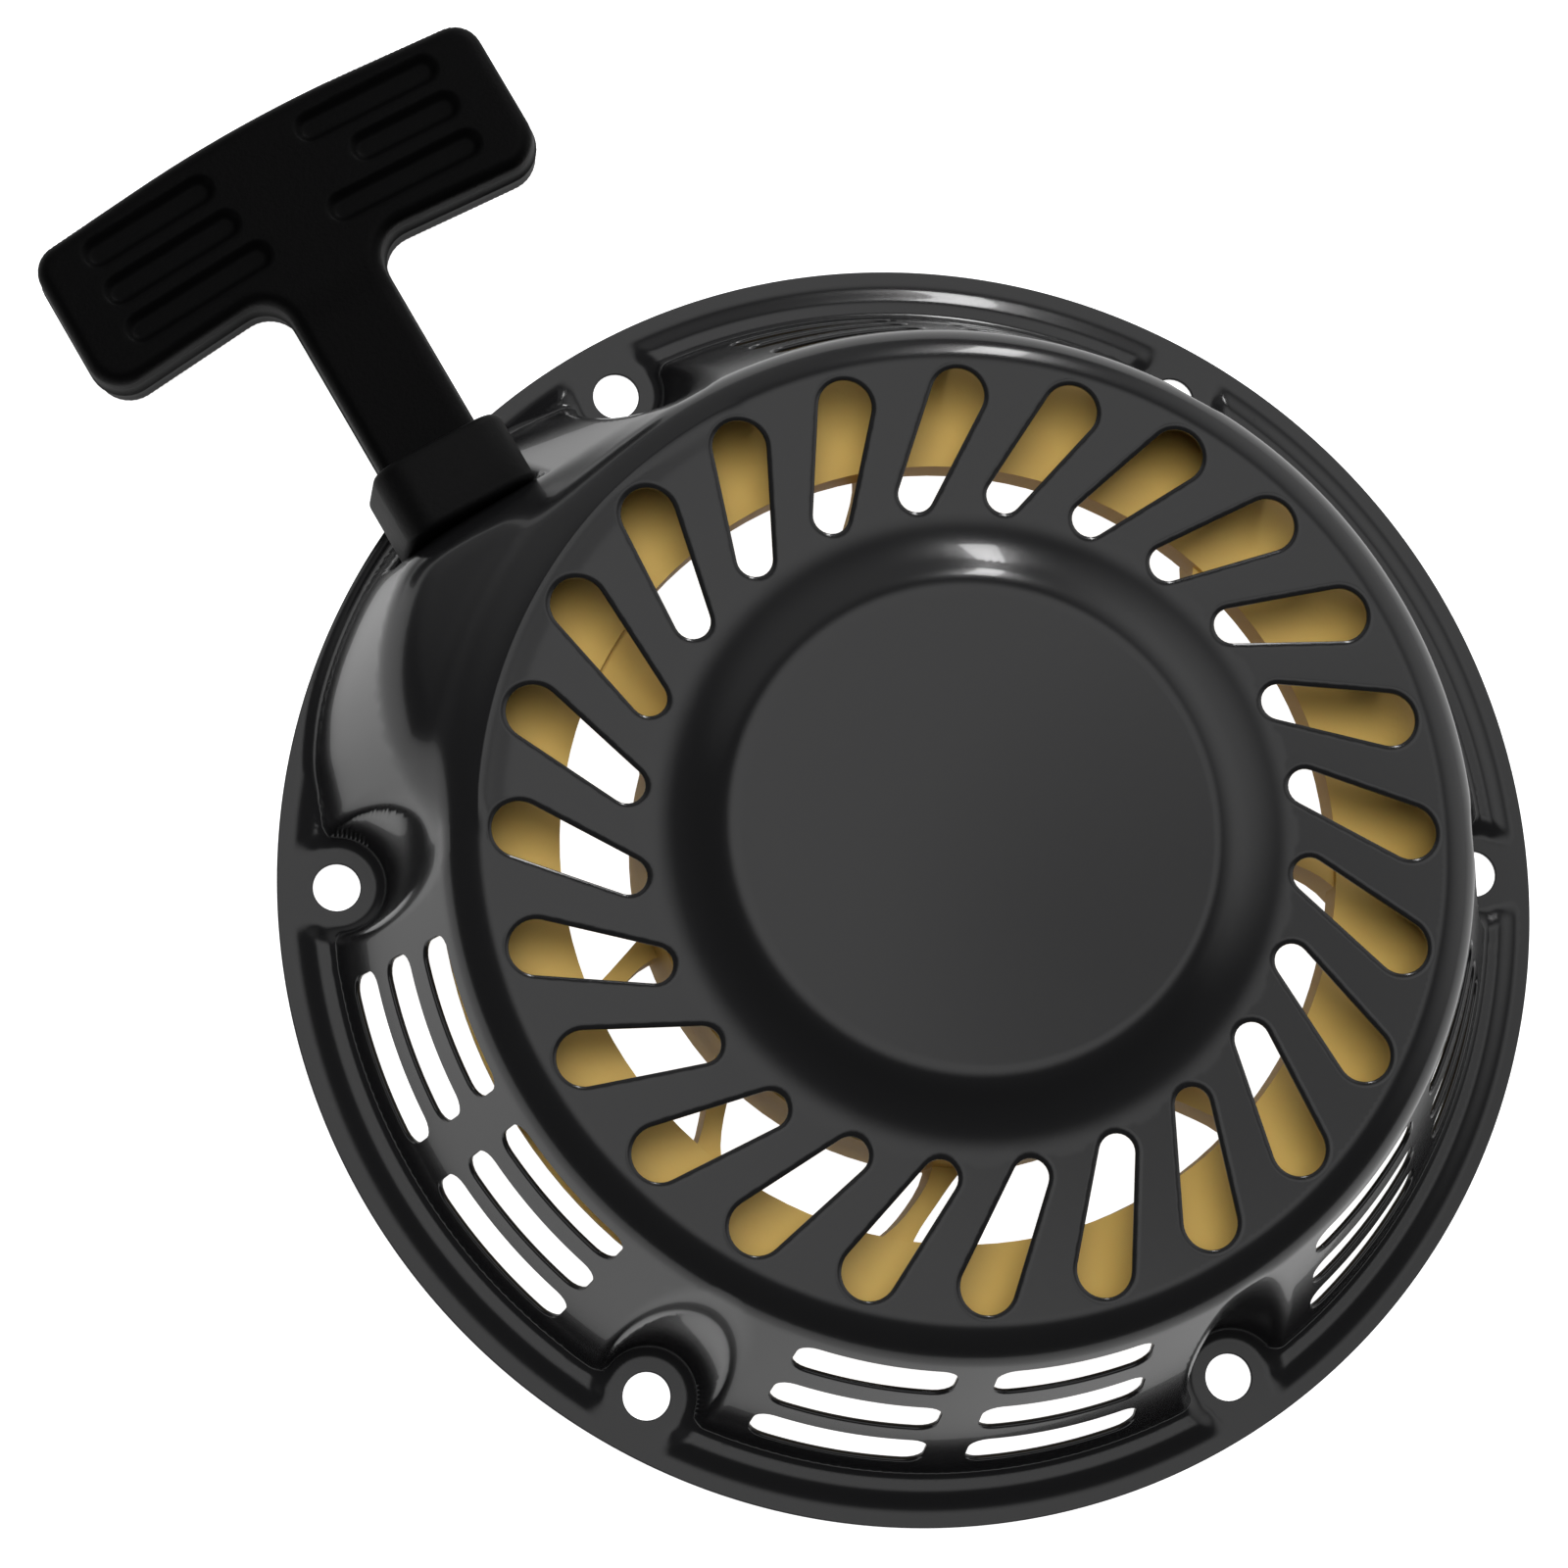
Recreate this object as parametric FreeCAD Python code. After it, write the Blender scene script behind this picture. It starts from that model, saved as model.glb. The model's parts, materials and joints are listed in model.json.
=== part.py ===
# Recoil starter: pressed steel case, rope reel, spring, ratchets, rope and T-grip.
# Millimetres.  Origin at the centre of the flange's mounting plane, +Z along the
# reel axis towards the outside, +Y along the pull of the rope.
import FreeCAD, Part
import math
import os
from FreeCAD import Vector as V

# ---- driving dimensions ------------------------------------------------------
SHEET = 1.0            # pressed steel sheet
FLANGE_R = 111.5
HOLE_PCD = 203.0
HOLE_R = 4.25
HOLE_N = 6
HOLE_PHASE = 31.5      # first hole, degrees from +X
WALL_R0 = 103.4        # side wall radius at the mounting plane
WALL_K = 0.372         # radius lost per mm of height
CASE_H = 49.6          # flat top
DOME_R0, DOME_R1, DOME_H = 49.3, 41.5, 4.3
TOP_ROUND = 5.0
POCKET_R0, POCKET_R1, POCKET_TOP = 8.6, 13.6, 41.5

SLOT_N = 24
SLOT_OUT = (74.2, 0.7, 4.7)    # radius, angle, end radius
SLOT_IN = (57.2, 8.4, 3.2)
VENT_ROWS = (11.4, 24.4, 38.3)
VENT_SPANS = ((9.5, 27.0), (31.0, 48.5))
VENT_W, VENT_CORNER = 9.6, 3.2

PULL_X = -42.0         # line of pull, parallel to +Y
PULL_Z = 26.0
SEAT_Y = 88.5          # flat on the rope outlet for the guide
GUIDE_W, GUIDE_D, GUIDE_L = 24.5, 24.0, 13.2
ROPE_R = 2.5

POST_R = 6.0
REEL_BORE = 6.05
DRUM_R, RIM_R = 70.0, 85.6
REEL_TOP, REEL_BOT = 33.0, 22.5
GROOVE_TOP, GROOVE_BOT = 31.5, 24.0
COIL_Z = 27.3          # outermost turn of rope, the one that leads off
TURN_GAP = 5.1         # from one turn of rope to the next one over it
KNOT_ANG = 121.0       # where the rope's end is knotted in the reel
CUP_R = 53.4
WINDOW_R = 66.2
FLOOR_Z = 27.0         # underside of the spring cup floor
FLOOR_T = 2.5
CUP_TOP = 42.5

DOG_R = 27.0           # ratchet pivots
DOG_ANG = (60.0, 240.0)
DOG_PIN = 4.0
DOG_Z, DOG_T = 17.0, 5.6

GRIP_ROLL = 9.0        # the grip hangs slightly turned on its rope
GRIP_L, GRIP_T = 85.0, 15.5
GRIP_Y0, GRIP_Y1 = 138.2, 166.0
STEM_W, STEM_T, STEM_Y0, NECK_Y = 18.0, 13.0, 94.0, 128.0

# bulge of the case around the rope outlet: angle, radius at z = 0, radius at z = 40
BULGE = (
    (90.0, 102.0, 86.0), (96.0, 104.0, 86.6), (100.0, 106.4, 87.4), (105.0, 108.4, 89.2),
    (110.0, 109.2, 91.6), (115.0, 109.4, 94.9), (120.0, 109.4, 99.3), (123.0, 109.4, 101.6),
    (127.0, 109.4, 101.0), (131.0, 109.3, 99.8), (135.0, 109.0, 98.0), (140.0, 107.8, 95.0),
    (145.0, 105.0, 90.6), (149.0, 102.0, 87.0),
)


# ---- helpers -------------------------------------------------------------------
def pol(r, deg, z=0.0):
    a = math.radians(deg)
    return V(r * math.cos(a), r * math.sin(a), z)


def turned(shape, deg, axis=V(0, 0, 1), at=V(0, 0, 0)):
    s = shape.copy()
    s.rotate(at, axis, deg)
    return s


def moved(shape, x=0, y=0, z=0):
    s = shape.copy()
    s.translate(V(x, y, z))
    return s


def lathe(profile):
    """Solid of revolution about Z from (r, z) corners."""
    pts = [V(r, 0, z) for r, z in profile]
    face = Part.Face(Part.makePolygon(pts + [pts[0]]))
    return face.revolve(V(0, 0, 0), V(0, 0, 1), 360)


def tube(r_out, r_in, z0, z1):
    body = Part.makeCylinder(r_out, z1 - z0, V(0, 0, z0))
    return body.cut(Part.makeCylinder(r_in, z1 - z0 + 2, V(0, 0, z0 - 1)))


def rounded_box(w, d, h, r, axis="z"):
    """Box centred on the axis, corners parallel to it rounded, from 0 to h."""
    b = Part.makeBox(w, d, h, V(-w / 2, -d / 2, 0))
    b = b.makeFillet(r, [e for e in b.Edges if abs(e.BoundBox.ZLength - h) < 1e-6])
    if axis == "y":
        b.rotate(V(0, 0, 0), V(1, 0, 0), -90)
    return b


def edge_at(shape, z, r, tol=0.3):
    """Circular edges at height z with radius r."""
    out = []
    for e in shape.Edges:
        bb = e.BoundBox
        if bb.ZLength < 1e-4 and abs(bb.ZMin - z) < tol and abs(bb.XMax - r) < tol:
            out.append(e)
    return out


def torus_arc(r_mid, r_wire, z, a0, a1):
    disc = Part.Face(Part.Wire(Part.makeCircle(r_wire, V(r_mid, 0, z), V(0, 1, 0))))
    return turned(disc.revolve(V(0, 0, 0), V(0, 0, 1), a1 - a0), a0)


def sweep(path, radius):
    edge = path.Edges[0]
    start = edge.valueAt(edge.FirstParameter)
    tangent = edge.tangentAt(edge.FirstParameter)
    ring = Part.Wire(Part.makeCircle(radius, start, tangent))
    return path.makePipeShell([ring], True, False)


# ---- pressed case ----------------------------------------------------------------
def wall_r(z, inset=0.0):
    return WALL_R0 - inset - WALL_K * z


def case_form(inset, z_low):
    """Case without bulge and pockets: outside (inset 0) or inside surface."""
    top = CASE_H - inset
    rim = wall_r(top, inset * 1.07)
    dome = [(DOME_R0 - inset * 0.6, top), (DOME_R1 - inset * 0.6, top + DOME_H),
            (0, top + DOME_H)]
    low = [(0, z_low), (wall_r(z_low, inset * 1.07), z_low)]
    if inset == 0:
        low = [(0, 0), (FLANGE_R, 0), (FLANGE_R, SHEET), (106.6, SHEET), (105.8, 2.4),
               (wall_r(2.4), 2.4)]
    solid = lathe(low + [(rim, top)] + dome)
    return solid.makeFillet(TOP_ROUND - inset, edge_at(solid, top, rim))


def bulge_form(inset):
    wires = []
    for z in (0.0 if inset == 0 else -1.0, 52.0):
        pts = [pol(r0 - inset * 1.05 + (r1 - r0) * z / 40.0, a, z) for a, r0, r1 in BULGE]
        curve = Part.BSplineCurve()
        curve.interpolate(pts)
        inner = [pol(60, BULGE[-1][0], z), pol(60, BULGE[0][0], z)]
        sides = [Part.makeLine(pts[-1], inner[0]), Part.makeLine(inner[0], inner[1]),
                 Part.makeLine(inner[1], pts[0])]
        wires.append(Part.Wire([curve.toShape()] + sides))
    loft = Part.makeLoft(wires, True, True)
    top = CASE_H - inset * 1.15
    lid = lathe([(0, 0 if inset == 0 else -1), (125, 0 if inset == 0 else -1),
                 (125, top - 22.5), (80, top), (0, top)])
    return loft.common(lid)


def at_holes(shape):
    return [turned(shape, HOLE_PHASE + 60.0 * k) for k in range(HOLE_N)]


def pocket(inset, z0):
    slope = (POCKET_R1 - POCKET_R0) / (POCKET_TOP - SHEET)
    h = 60.0 - z0
    r0 = POCKET_R0 + inset - slope * (SHEET - z0)
    return Part.makeCone(r0, r0 + slope * h, h, V(HOLE_PCD / 2, 0, z0))


def seat_box(inset):
    w = GUIDE_W + 2.6 + 2 * inset
    z0 = PULL_Z - GUIDE_D / 2 - 1.6 - inset
    return Part.makeBox(w, 40, 60, V(PULL_X - w / 2, SEAT_Y - inset, z0))


def teardrop():
    """Top slot: two round ends joined by their common tangents."""
    (ra, aa, ea), (rb, ab, eb) = SLOT_OUT, SLOT_IN
    a, b = pol(ra, aa, 44), pol(rb, ab, 44)
    d = b.sub(a)
    base = math.atan2(d.y, d.x)
    phi = math.acos((ea - eb) / d.Length)

    def on(c, r, t):
        return V(c.x + r * math.cos(t), c.y + r * math.sin(t), c.z)

    p1, p2 = on(a, ea, base + phi), on(b, eb, base + phi)
    p3, p4 = on(b, eb, base - phi), on(a, ea, base - phi)
    edges = [Part.makeLine(p1, p2), Part.Arc(p2, on(b, eb, base), p3).toShape(),
             Part.makeLine(p3, p4), Part.Arc(p4, on(a, ea, base + math.pi), p1).toShape()]
    return Part.Face(Part.Wire(edges)).extrude(V(0, 0, 20))


def vent(z, a0, a1):
    """Punch for one slot in the side wall: a round-cornered bar square to the wall."""
    r = wall_r(z)
    tilt = math.degrees(math.atan(WALL_K))
    length = 2 * r * math.sin(math.radians(a1 - a0) / 2)
    punch = rounded_box(VENT_W, length, 10, VENT_CORNER)
    punch.translate(V(0, 0, -5))
    punch.rotate(V(0, 0, 0), V(0, 1, 0), 90 - tilt)
    sag = r * (1 - math.cos(math.radians(a1 - a0) / 2)) / 2
    punch.translate(V(r - sag, 0, z))
    return turned(punch, (a0 + a1) / 2)


def starter_case():
    outer = case_form(0, 0).fuse(bulge_form(0))
    outer = outer.cut([seat_box(0)] + at_holes(pocket(0, SHEET)))
    inner = case_form(SHEET, -1.0).fuse(bulge_form(SHEET))
    inner = inner.cut([seat_box(SHEET)] + at_holes(pocket(SHEET, -2.0)))
    shell = outer.cut(inner)
    cuts = [turned(teardrop(), 360.0 / SLOT_N * k) for k in range(SLOT_N)]
    for k in range(HOLE_N):
        start = HOLE_PHASE + 60.0 * k
        if k == 1:
            continue                    # the rope outlet takes this sector
        for z in VENT_ROWS:
            for a0, a1 in VENT_SPANS:
                cuts.append(vent(z, start + a0, start + a1))
    cuts += at_holes(Part.makeCylinder(HOLE_R, 6, V(HOLE_PCD / 2, 0, -2)))
    cuts.append(Part.makeCylinder(7.05, 20, V(PULL_X, SEAT_Y - 10, PULL_Z), V(0, 1, 0)))
    return shell.cut(cuts).removeSplitter()


def reinforcing_plate():
    """Disc welded inside the dome, three dimples, staked to the post."""
    z1 = CASE_H + DOME_H - SHEET
    plate = Part.makeCylinder(30, 1.5, V(0, 0, z1 - 1.5))
    plate = plate.cut(Part.makeCylinder(5.0, 5, V(0, 0, z1 - 3)))
    for a in (30, 150, 270):
        plate = plate.cut(Part.makeCylinder(2.5, 5, pol(23, a, z1 - 3)))
    return plate


def centre_post():
    top = CASE_H + DOME_H - SHEET
    post = lathe([(0, 11), (POST_R - 0.4, 11), (POST_R, 11.4), (POST_R, 30.6), (8, 30.6),
                  (8, top - 1.5), (5, top - 1.5), (5, top), (0, top)])
    return post.cut(Part.makeCylinder(3.0, 18, V(0, 0, 10)))


def spring_arbor():
    """Fixed hub for the inner end of the spring, with its hook slot."""
    hub = tube(13, 8, 30.8, 44)
    hub = hub.fuse(tube(18, 8, 44, 46.5))
    slot = Part.makeBox(6, 2.2, 11.4, V(10, -1.1, 30.8))
    return hub.cut([slot, Part.makeBox(2.2, 7, 11.4, V(9.4, -1.1, 30.8))])


def setting_screw():
    """Flanged hex screw that holds the ratchet guide to the post."""
    head = Part.makePolygon([pol(5.77, 60 * k, 4.4) for k in range(7)])
    head = Part.Face(head).extrude(V(0, 0, 4.2))
    head = head.common(lathe([(0, 4.4), (5.0, 4.4), (5.9, 5.0), (5.9, 8.6), (0, 8.6)]))
    flange = lathe([(0, 8.0), (6.4, 8.0), (6.8, 8.4), (6.8, 9.4), (0, 9.4)])
    shank = Part.makeCylinder(2.95, 16, V(0, 0, 9.4))
    return head.fuse([flange, shank])


def screw_washer():
    return tube(11.0, 3.2, 9.4, 11.0)


# ---- reel -------------------------------------------------------------------------
def spoke(angle, width, lean):
    """Curved web between the spring cup and the drum."""
    pts_a, pts_b = [], []
    for i in range(9):
        r = CUP_R - 1.5 + (WINDOW_R - CUP_R + 3.0) * i / 8
        t = lean * (i / 8.0 - 0.5)
        h = math.degrees(width / 2 / r) * (1.0 + 0.9 * abs(i / 4.0 - 1.0) ** 3)
        pts_a.append(pol(r, angle + t + h, REEL_BOT))
        pts_b.append(pol(r, angle + t - h, REEL_BOT))
    pts = pts_a + pts_b[::-1]
    return Part.Face(Part.makePolygon(pts + [pts[0]])).extrude(V(0, 0, 9.0))


SPOKES = ((74.0, 3.6, -9.0), (KNOT_ANG, 15.0, -6.0), (171.0, 3.6, 8.0), (197.5, 3.6, 9.0),
          (234.5, 3.6, -9.0), (285.0, 3.6, 6.0), (330.0, 3.6, -6.0), (14.5, 3.6, 6.0))


def reel_drum():
    ring = lathe([(68.6, REEL_BOT), (RIM_R, REEL_BOT), (RIM_R, REEL_BOT + 1.2),
                  (DRUM_R, GROOVE_BOT), (DRUM_R, GROOVE_TOP), (RIM_R, REEL_TOP - 1.2),
                  (RIM_R, REEL_TOP), (WINDOW_R, REEL_TOP), (WINDOW_R, 27.0), (68.6, 24.5)])
    hole = Part.makeCylinder(2.7, 9, pol(WINDOW_R - 2, KNOT_ANG, 27.2), pol(1, KNOT_ANG))
    pit = Part.makeBox(10.2, 11, 10.2, V(-12, -5.5, 20))
    pit.rotate(V(0, 0, 0), V(0, 0, 1), KNOT_ANG)
    pit.translate(pol(WINDOW_R + 0.5, KNOT_ANG))
    return ring, hole, pit


def rope_reel():
    ring, hole, pit = reel_drum()
    cup = lathe([(REEL_BORE, 15.4), (10, 15.4), (10, FLOOR_Z), (CUP_R - 2.5, FLOOR_Z),
                 (CUP_R - 2.5, 21), (CUP_R, 21), (CUP_R, CUP_TOP), (CUP_R - 1.2, CUP_TOP),
                 (CUP_R - 1.2, 41.2), (CUP_R - 2.5, 41.2), (CUP_R - 2.5, FLOOR_Z + FLOOR_T),
                 (REEL_BORE, FLOOR_Z + FLOOR_T)])
    parts = [spoke(a, w, s) for a, w, s in SPOKES]
    for a in DOG_ANG:
        parts.append(Part.makeCylinder(DOG_PIN, 12.2, pol(DOG_R, a, 15.4)))
        parts.append(Part.makeCylinder(7, 1.6, pol(DOG_R, a, 25.9)))
    for k in range(12):
        rib = Part.makeBox(17.3, 1.8, 4.5, V(34, -0.9, 23))
        parts.append(turned(rib, 30 * k + 15))
    hook = Part.makeBox(3.2, 2.0, 11, V(CUP_R - 6, 3.0, FLOOR_Z + FLOOR_T - 0.2))
    body = cup.fuse(parts + [ring, hook])
    return body.cut([hole, pit]).removeSplitter()


def spring_cover():
    disc = tube(CUP_R - 1.3, 20.0, 41.3, 42.3)
    holes = [Part.makeCylinder(3, 4, pol(36, 60 * k, 40)) for k in range(6)]
    return disc.cut(holes)


def recoil_spring():
    """Flat strip wound from the arbor to the cup wall, in half-turn arcs."""
    t, r0, pitch, halves, z = 0.9, 14.4, 3.8, 18, 30.2

    def edge(k, off):
        c = V(-pitch / 4 if k % 2 == 0 else pitch / 4, 0, z)
        r = r0 + k * pitch / 2 + off
        s = 1 if k % 2 == 0 else -1
        return Part.Arc(c + V(s * r, 0, 0), c + V(0, s * r, 0), c - V(s * r, 0, 0)).toShape()

    inner = [edge(k, -t / 2) for k in range(halves)]
    outer = [edge(k, t / 2) for k in range(halves)]
    first, last = -pitch / 4 + r0, pitch / 4 + r0 + (halves - 1) * pitch / 2
    ends = [Part.makeLine(V(first - t / 2, 0, z), V(first + t / 2, 0, z)),
            Part.makeLine(V(last - t / 2, 0, z), V(last + t / 2, 0, z))]
    wire = Part.Wire(Part.__sortEdges__(inner + outer + ends))
    return Part.Face(wire).extrude(V(0, 0, 10.2))


def rope_coil():
    """Three turns wound one over the other on the drum."""
    first = DRUM_R + ROPE_R + 0.1
    turns = ((26.9, KNOT_ANG, 465.0), (28.6, KNOT_ANG, 465.0), (COIL_Z, 143.5, 478.0))
    return Part.makeCompound([torus_arc(first + k * TURN_GAP, ROPE_R, z, a0, a1)
                              for k, (z, a0, a1) in enumerate(turns)])


def knot(size):
    """Stopper knot: a ball with a raised turn of rope round it."""
    ball = Part.makeSphere(size)
    turn = turned(Part.makeTorus(size - 1.2, 2.0), 35, V(1, 0, 0))
    return ball.fuse(turn)


def reel_knot():
    k = knot(3.6)
    k.translate(pol(WINDOW_R - 6.2, KNOT_ANG, 25.4))
    return k


# ---- ratchets ------------------------------------------------------------------------
def ratchet(angle):
    """Swinging dog; the arm lies along the circle and swings outwards."""
    outline = [(5.6, 3.0), (6.2, -4.0), (6.0, -11.0), (3.8, -17.2), (1.0, -19.0), (-1.2, -18.0),
               (-2.65, -13.4), (-4.95, -5.6), (-5.4, 0.0), (-3.0, 4.5)]
    curve = Part.makePolygon([V(DOG_R + x, y, DOG_Z) for x, y in outline + outline[:1]])
    arm = Part.Face(curve).extrude(V(0, 0, DOG_T))
    eye = Part.makeCylinder(6.2, DOG_T, V(DOG_R, 0, DOG_Z))
    body = arm.fuse(eye).removeSplitter()
    body = body.cut(Part.makeCylinder(DOG_PIN + 0.06, 20, V(DOG_R, 0, 10)))
    return turned(body, angle)


def ratchet_spring(angle):
    """Light torsion spring round the pivot: four close turns and two short legs."""
    wire, mid, low, pitch = 0.36, 4.95, 23.2, 0.62
    one_turn = ((0.06, 0.7), (0.31, 1.0), (0.56, 0.7))
    steps = [(k * pitch + dz, dr) for k in range(4) for dz, dr in one_turn]
    inside = [(mid - wire * dr, low + z) for z, dr in steps]
    outside = [(mid + wire * dr, low + z) for z, dr in steps[::-1]]
    ring = lathe(inside + outside)
    legs = [Part.makeCylinder(0.3, 7.0, V(mid, 0, low + 0.31), V(0, 1, 0)),
            Part.makeCylinder(0.3, 7.0, V(-mid, 0, low + 0.31 + 3 * pitch), V(0, 1, 0))]
    return turned(moved(ring.fuse(legs), x=DOG_R), angle)


def ratchet_guide():
    """Cam plate under the ratchets; its fingers push them out."""
    plate = tube(21.5, POST_R + 0.06, 12.7, 14.9)
    parts = []
    for a in DOG_ANG:
        arm = Part.makeBox(13.5, 9, 2.2, V(11.0, -17.5, 12.7))
        peg = Part.makeCylinder(2.0, 7.6, V(22.0, -13.4, 13.2))
        parts += [turned(arm, a), turned(peg, a)]
    body = plate.fuse(parts).removeSplitter()
    return body.cut([Part.makeCylinder(2.6, 6, pol(14.5, a + 90, 11)) for a in DOG_ANG])


def friction_spring():
    """Wave spring between washer and guide."""
    ring = tube(10.4, 6.9, 11.45, 11.95)
    waves = [turned(Part.makeBox(3.5, 3.2, 1.2, V(6.9, -1.6, 11.2)), 60 * k)
             for k in range(6)]
    waves = [w.common(tube(10.4, 6.9, 11.1, 12.5)) for w in waves]
    return ring.fuse(waves)


# ---- rope outlet ---------------------------------------------------------------------
def guide_place(shape):
    return moved(shape, x=PULL_X, y=SEAT_Y, z=PULL_Z)


def rope_guide():
    """Cup for the grip's stem, snapped into the outlet."""
    block = rounded_box(GUIDE_W, GUIDE_D, GUIDE_L, 5.5, "y")
    rim = [e for e in block.Edges if e.BoundBox.YLength < 1e-6 and e.BoundBox.YMin > 1]
    block = block.makeFillet(1.3, rim)
    well = moved(rounded_box(21.0, 17.4, 20, 4.2, "y"), y=4.6)
    spigot = Part.makeCylinder(6.95, 6.2, V(0, -6.2, 0), V(0, 1, 0))
    lip = Part.makeCone(7.2, 8.4, 3.4, V(0, -6.2, 0), V(0, 1, 0))
    bore = Part.makeCylinder(4.2, 40, V(0, -20, 0), V(0, 1, 0))
    return guide_place(block.cut(well).fuse([spigot, lip]).cut(bore))


def guide_ferrule():
    """Rolled steel eyelet the rope runs in."""
    barrel = tube(4.15, 3.3, 0, 11.0)
    lips = lathe([(3.3, 0), (6.0, 0), (6.0, 0.8), (4.15, 1.4), (3.3, 1.4)])
    body = barrel.fuse(lips)
    body.rotate(V(0, 0, 0), V(1, 0, 0), -90)
    return guide_place(moved(body, y=-7.1))


def rope_lead():
    r = DRUM_R + ROPE_R + 10.3
    corner = V(PULL_X, SEAT_Y - 9.5, PULL_Z)
    d = math.hypot(corner.x, corner.y)
    a = math.degrees(math.atan2(corner.y, corner.x) + math.acos(r / d))
    start = pol(r, a, COIL_Z)
    leg = corner.sub(start)
    leg.normalize()
    cut = 4.0
    p1 = corner - leg * cut
    p2 = corner + V(0, cut, 0)
    mid = (p1 + p2) * 0.25 + corner * 0.5
    path = Part.Wire([Part.makeLine(start, p1), Part.Arc(p1, mid, p2).toShape(),
                      Part.makeLine(p2, V(PULL_X, GRIP_Y0 + 5.0, PULL_Z))])
    return sweep(path, ROPE_R)


# ---- grip --------------------------------------------------------------------------------
def rounded_outline(corners):
    """Closed wire from (x, y, radius) corners, each joined by a tangent arc."""
    n = len(corners)
    ends, edges = [], []
    for i, (x, y, r) in enumerate(corners):
        p = V(x, y, 0)
        u = V(corners[i - 1][0], corners[i - 1][1], 0).sub(p).normalize()
        w = V(corners[(i + 1) % n][0], corners[(i + 1) % n][1], 0).sub(p).normalize()
        half = math.acos(max(-1, min(1, u.dot(w)))) / 2
        t = r / math.tan(half)
        mid = (u + w).normalize() * (r / math.sin(half) - r)
        ends.append((p + u * t, p + w * t))
        edges.append(Part.Arc(p + u * t, p + mid, p + w * t).toShape())
    for i in range(n):
        edges.append(Part.makeLine(ends[i][1], ends[(i + 1) % n][0]))
    return Part.Wire(Part.sortEdges(edges)[0])


def grip_outline():
    """Crossbar and neck of the T; y is the pull direction."""
    h, w, y0, y1 = GRIP_L / 2, STEM_W / 2, GRIP_Y0, GRIP_Y1
    right = [(w, NECK_Y, 2.5), (w, y0 + 0.4, 6.0), (h, y0 - 2.2, 6.0), (h, y1 - 2.6, 5.0)]
    left = [(-x, y, r) for x, y, r in right[::-1]]
    return rounded_outline(right + [(0, y1 + 1.1, 400.0)] + left)


GROOVES = ((7.5, 34.0, 159.2, -2.5), (14.0, 34.0, 151.8, -2.5), (5.5, 34.0, 144.4, -2.5),
           (-34.0, -9.0, 159.0, 2.5), (-34.0, -8.0, 151.6, 2.5), (-34.0, -6.0, 144.2, 2.5))


def groove(x0, x1, y, tilt, z):
    r = 2.6
    length = x1 - x0
    pill = rounded_box(length, 2 * r, 4, r - 0.01)
    pill.rotate(V(0, 0, 0), V(0, 0, 1), tilt)
    return moved(pill, x=(x0 + x1) / 2, y=y, z=z)


def grip_place(shape):
    s = turned(shape, GRIP_ROLL * -1.0, V(0, 1, 0))
    return moved(s, x=PULL_X, z=PULL_Z)


def pull_grip():
    half = GRIP_T / 2
    slab = Part.Face(grip_outline()).extrude(V(0, 0, GRIP_T))
    slab.translate(V(0, 0, -half))
    slab = slab.makeFillet(1.8, [e for e in slab.Edges if e.BoundBox.ZLength < 1e-6])
    stem = moved(rounded_box(STEM_W, STEM_T, GRIP_Y0 - STEM_Y0, 3.0, "y"), y=STEM_Y0)
    slab = slab.fuse(stem).removeSplitter()
    cuts = [groove(*g, half - 1.5) for g in GROOVES]
    cuts += [groove(*g, -half - 2.5) for g in GROOVES]
    cuts.append(Part.makeCylinder(2.9, 59, V(0, STEM_Y0 - 10, 0), V(0, 1, 0)))
    cuts.append(Part.makeCylinder(6.6, 13.0, V(0, GRIP_Y0 + 3.5, 0), V(0, 1, 0)))
    cuts.append(Part.makeBox(13.2, 13.0, 14, V(-6.6, GRIP_Y0 + 3.5, -14)))
    return grip_place(slab.cut(cuts))


def grip_washer():
    ring = tube(6.2, 2.8, 0, 1.2)
    ring.rotate(V(0, 0, 0), V(1, 0, 0), -90)
    return grip_place(moved(ring, y=GRIP_Y0 + 3.55))


def grip_knot():
    k = knot(4.6)
    return grip_place(moved(k, y=GRIP_Y0 + 10.0))


# ---- write one STEP per node ---------------------------------------------------------------
NODES = {
    "starter_case": starter_case,
    "reinforcing_plate": reinforcing_plate,
    "centre_post": centre_post,
    "spring_arbor": spring_arbor,
    "setting_screw": setting_screw,
    "screw_washer": screw_washer,
    "rope_guide": rope_guide,
    "guide_ferrule": guide_ferrule,
    "rope_lead": rope_lead,
    "rope_reel": rope_reel,
    "spring_cover": spring_cover,
    "recoil_spring": recoil_spring,
    "rope_coil": rope_coil,
    "reel_knot": reel_knot,
    "ratchet_a": lambda: ratchet(DOG_ANG[0]),
    "ratchet_b": lambda: ratchet(DOG_ANG[1]),
    "ratchet_spring_a": lambda: ratchet_spring(DOG_ANG[0]),
    "ratchet_spring_b": lambda: ratchet_spring(DOG_ANG[1]),
    "ratchet_guide": ratchet_guide,
    "friction_spring": friction_spring,
    "pull_grip": pull_grip,
    "grip_washer": grip_washer,
    "grip_knot": grip_knot,
}

os.makedirs("parts", exist_ok=True)
for name, make in NODES.items():
    shape = make()
    shape.exportStep("parts/" + name + ".step")
    bb = shape.BoundBox
    print("%-18s ok=%s solids=%d vol=%.0f  x %.1f..%.1f  y %.1f..%.1f  z %.1f..%.1f" % (
        name, shape.isValid(), len(shape.Solids), shape.Volume, bb.XMin, bb.XMax, bb.YMin,
        bb.YMax, bb.ZMin, bb.ZMax))
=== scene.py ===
import json
import math

import bmesh
import bpy
import numpy as np
from mathutils import Matrix, Vector
from mathutils.geometry import delaunay_2d_cdt


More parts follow.
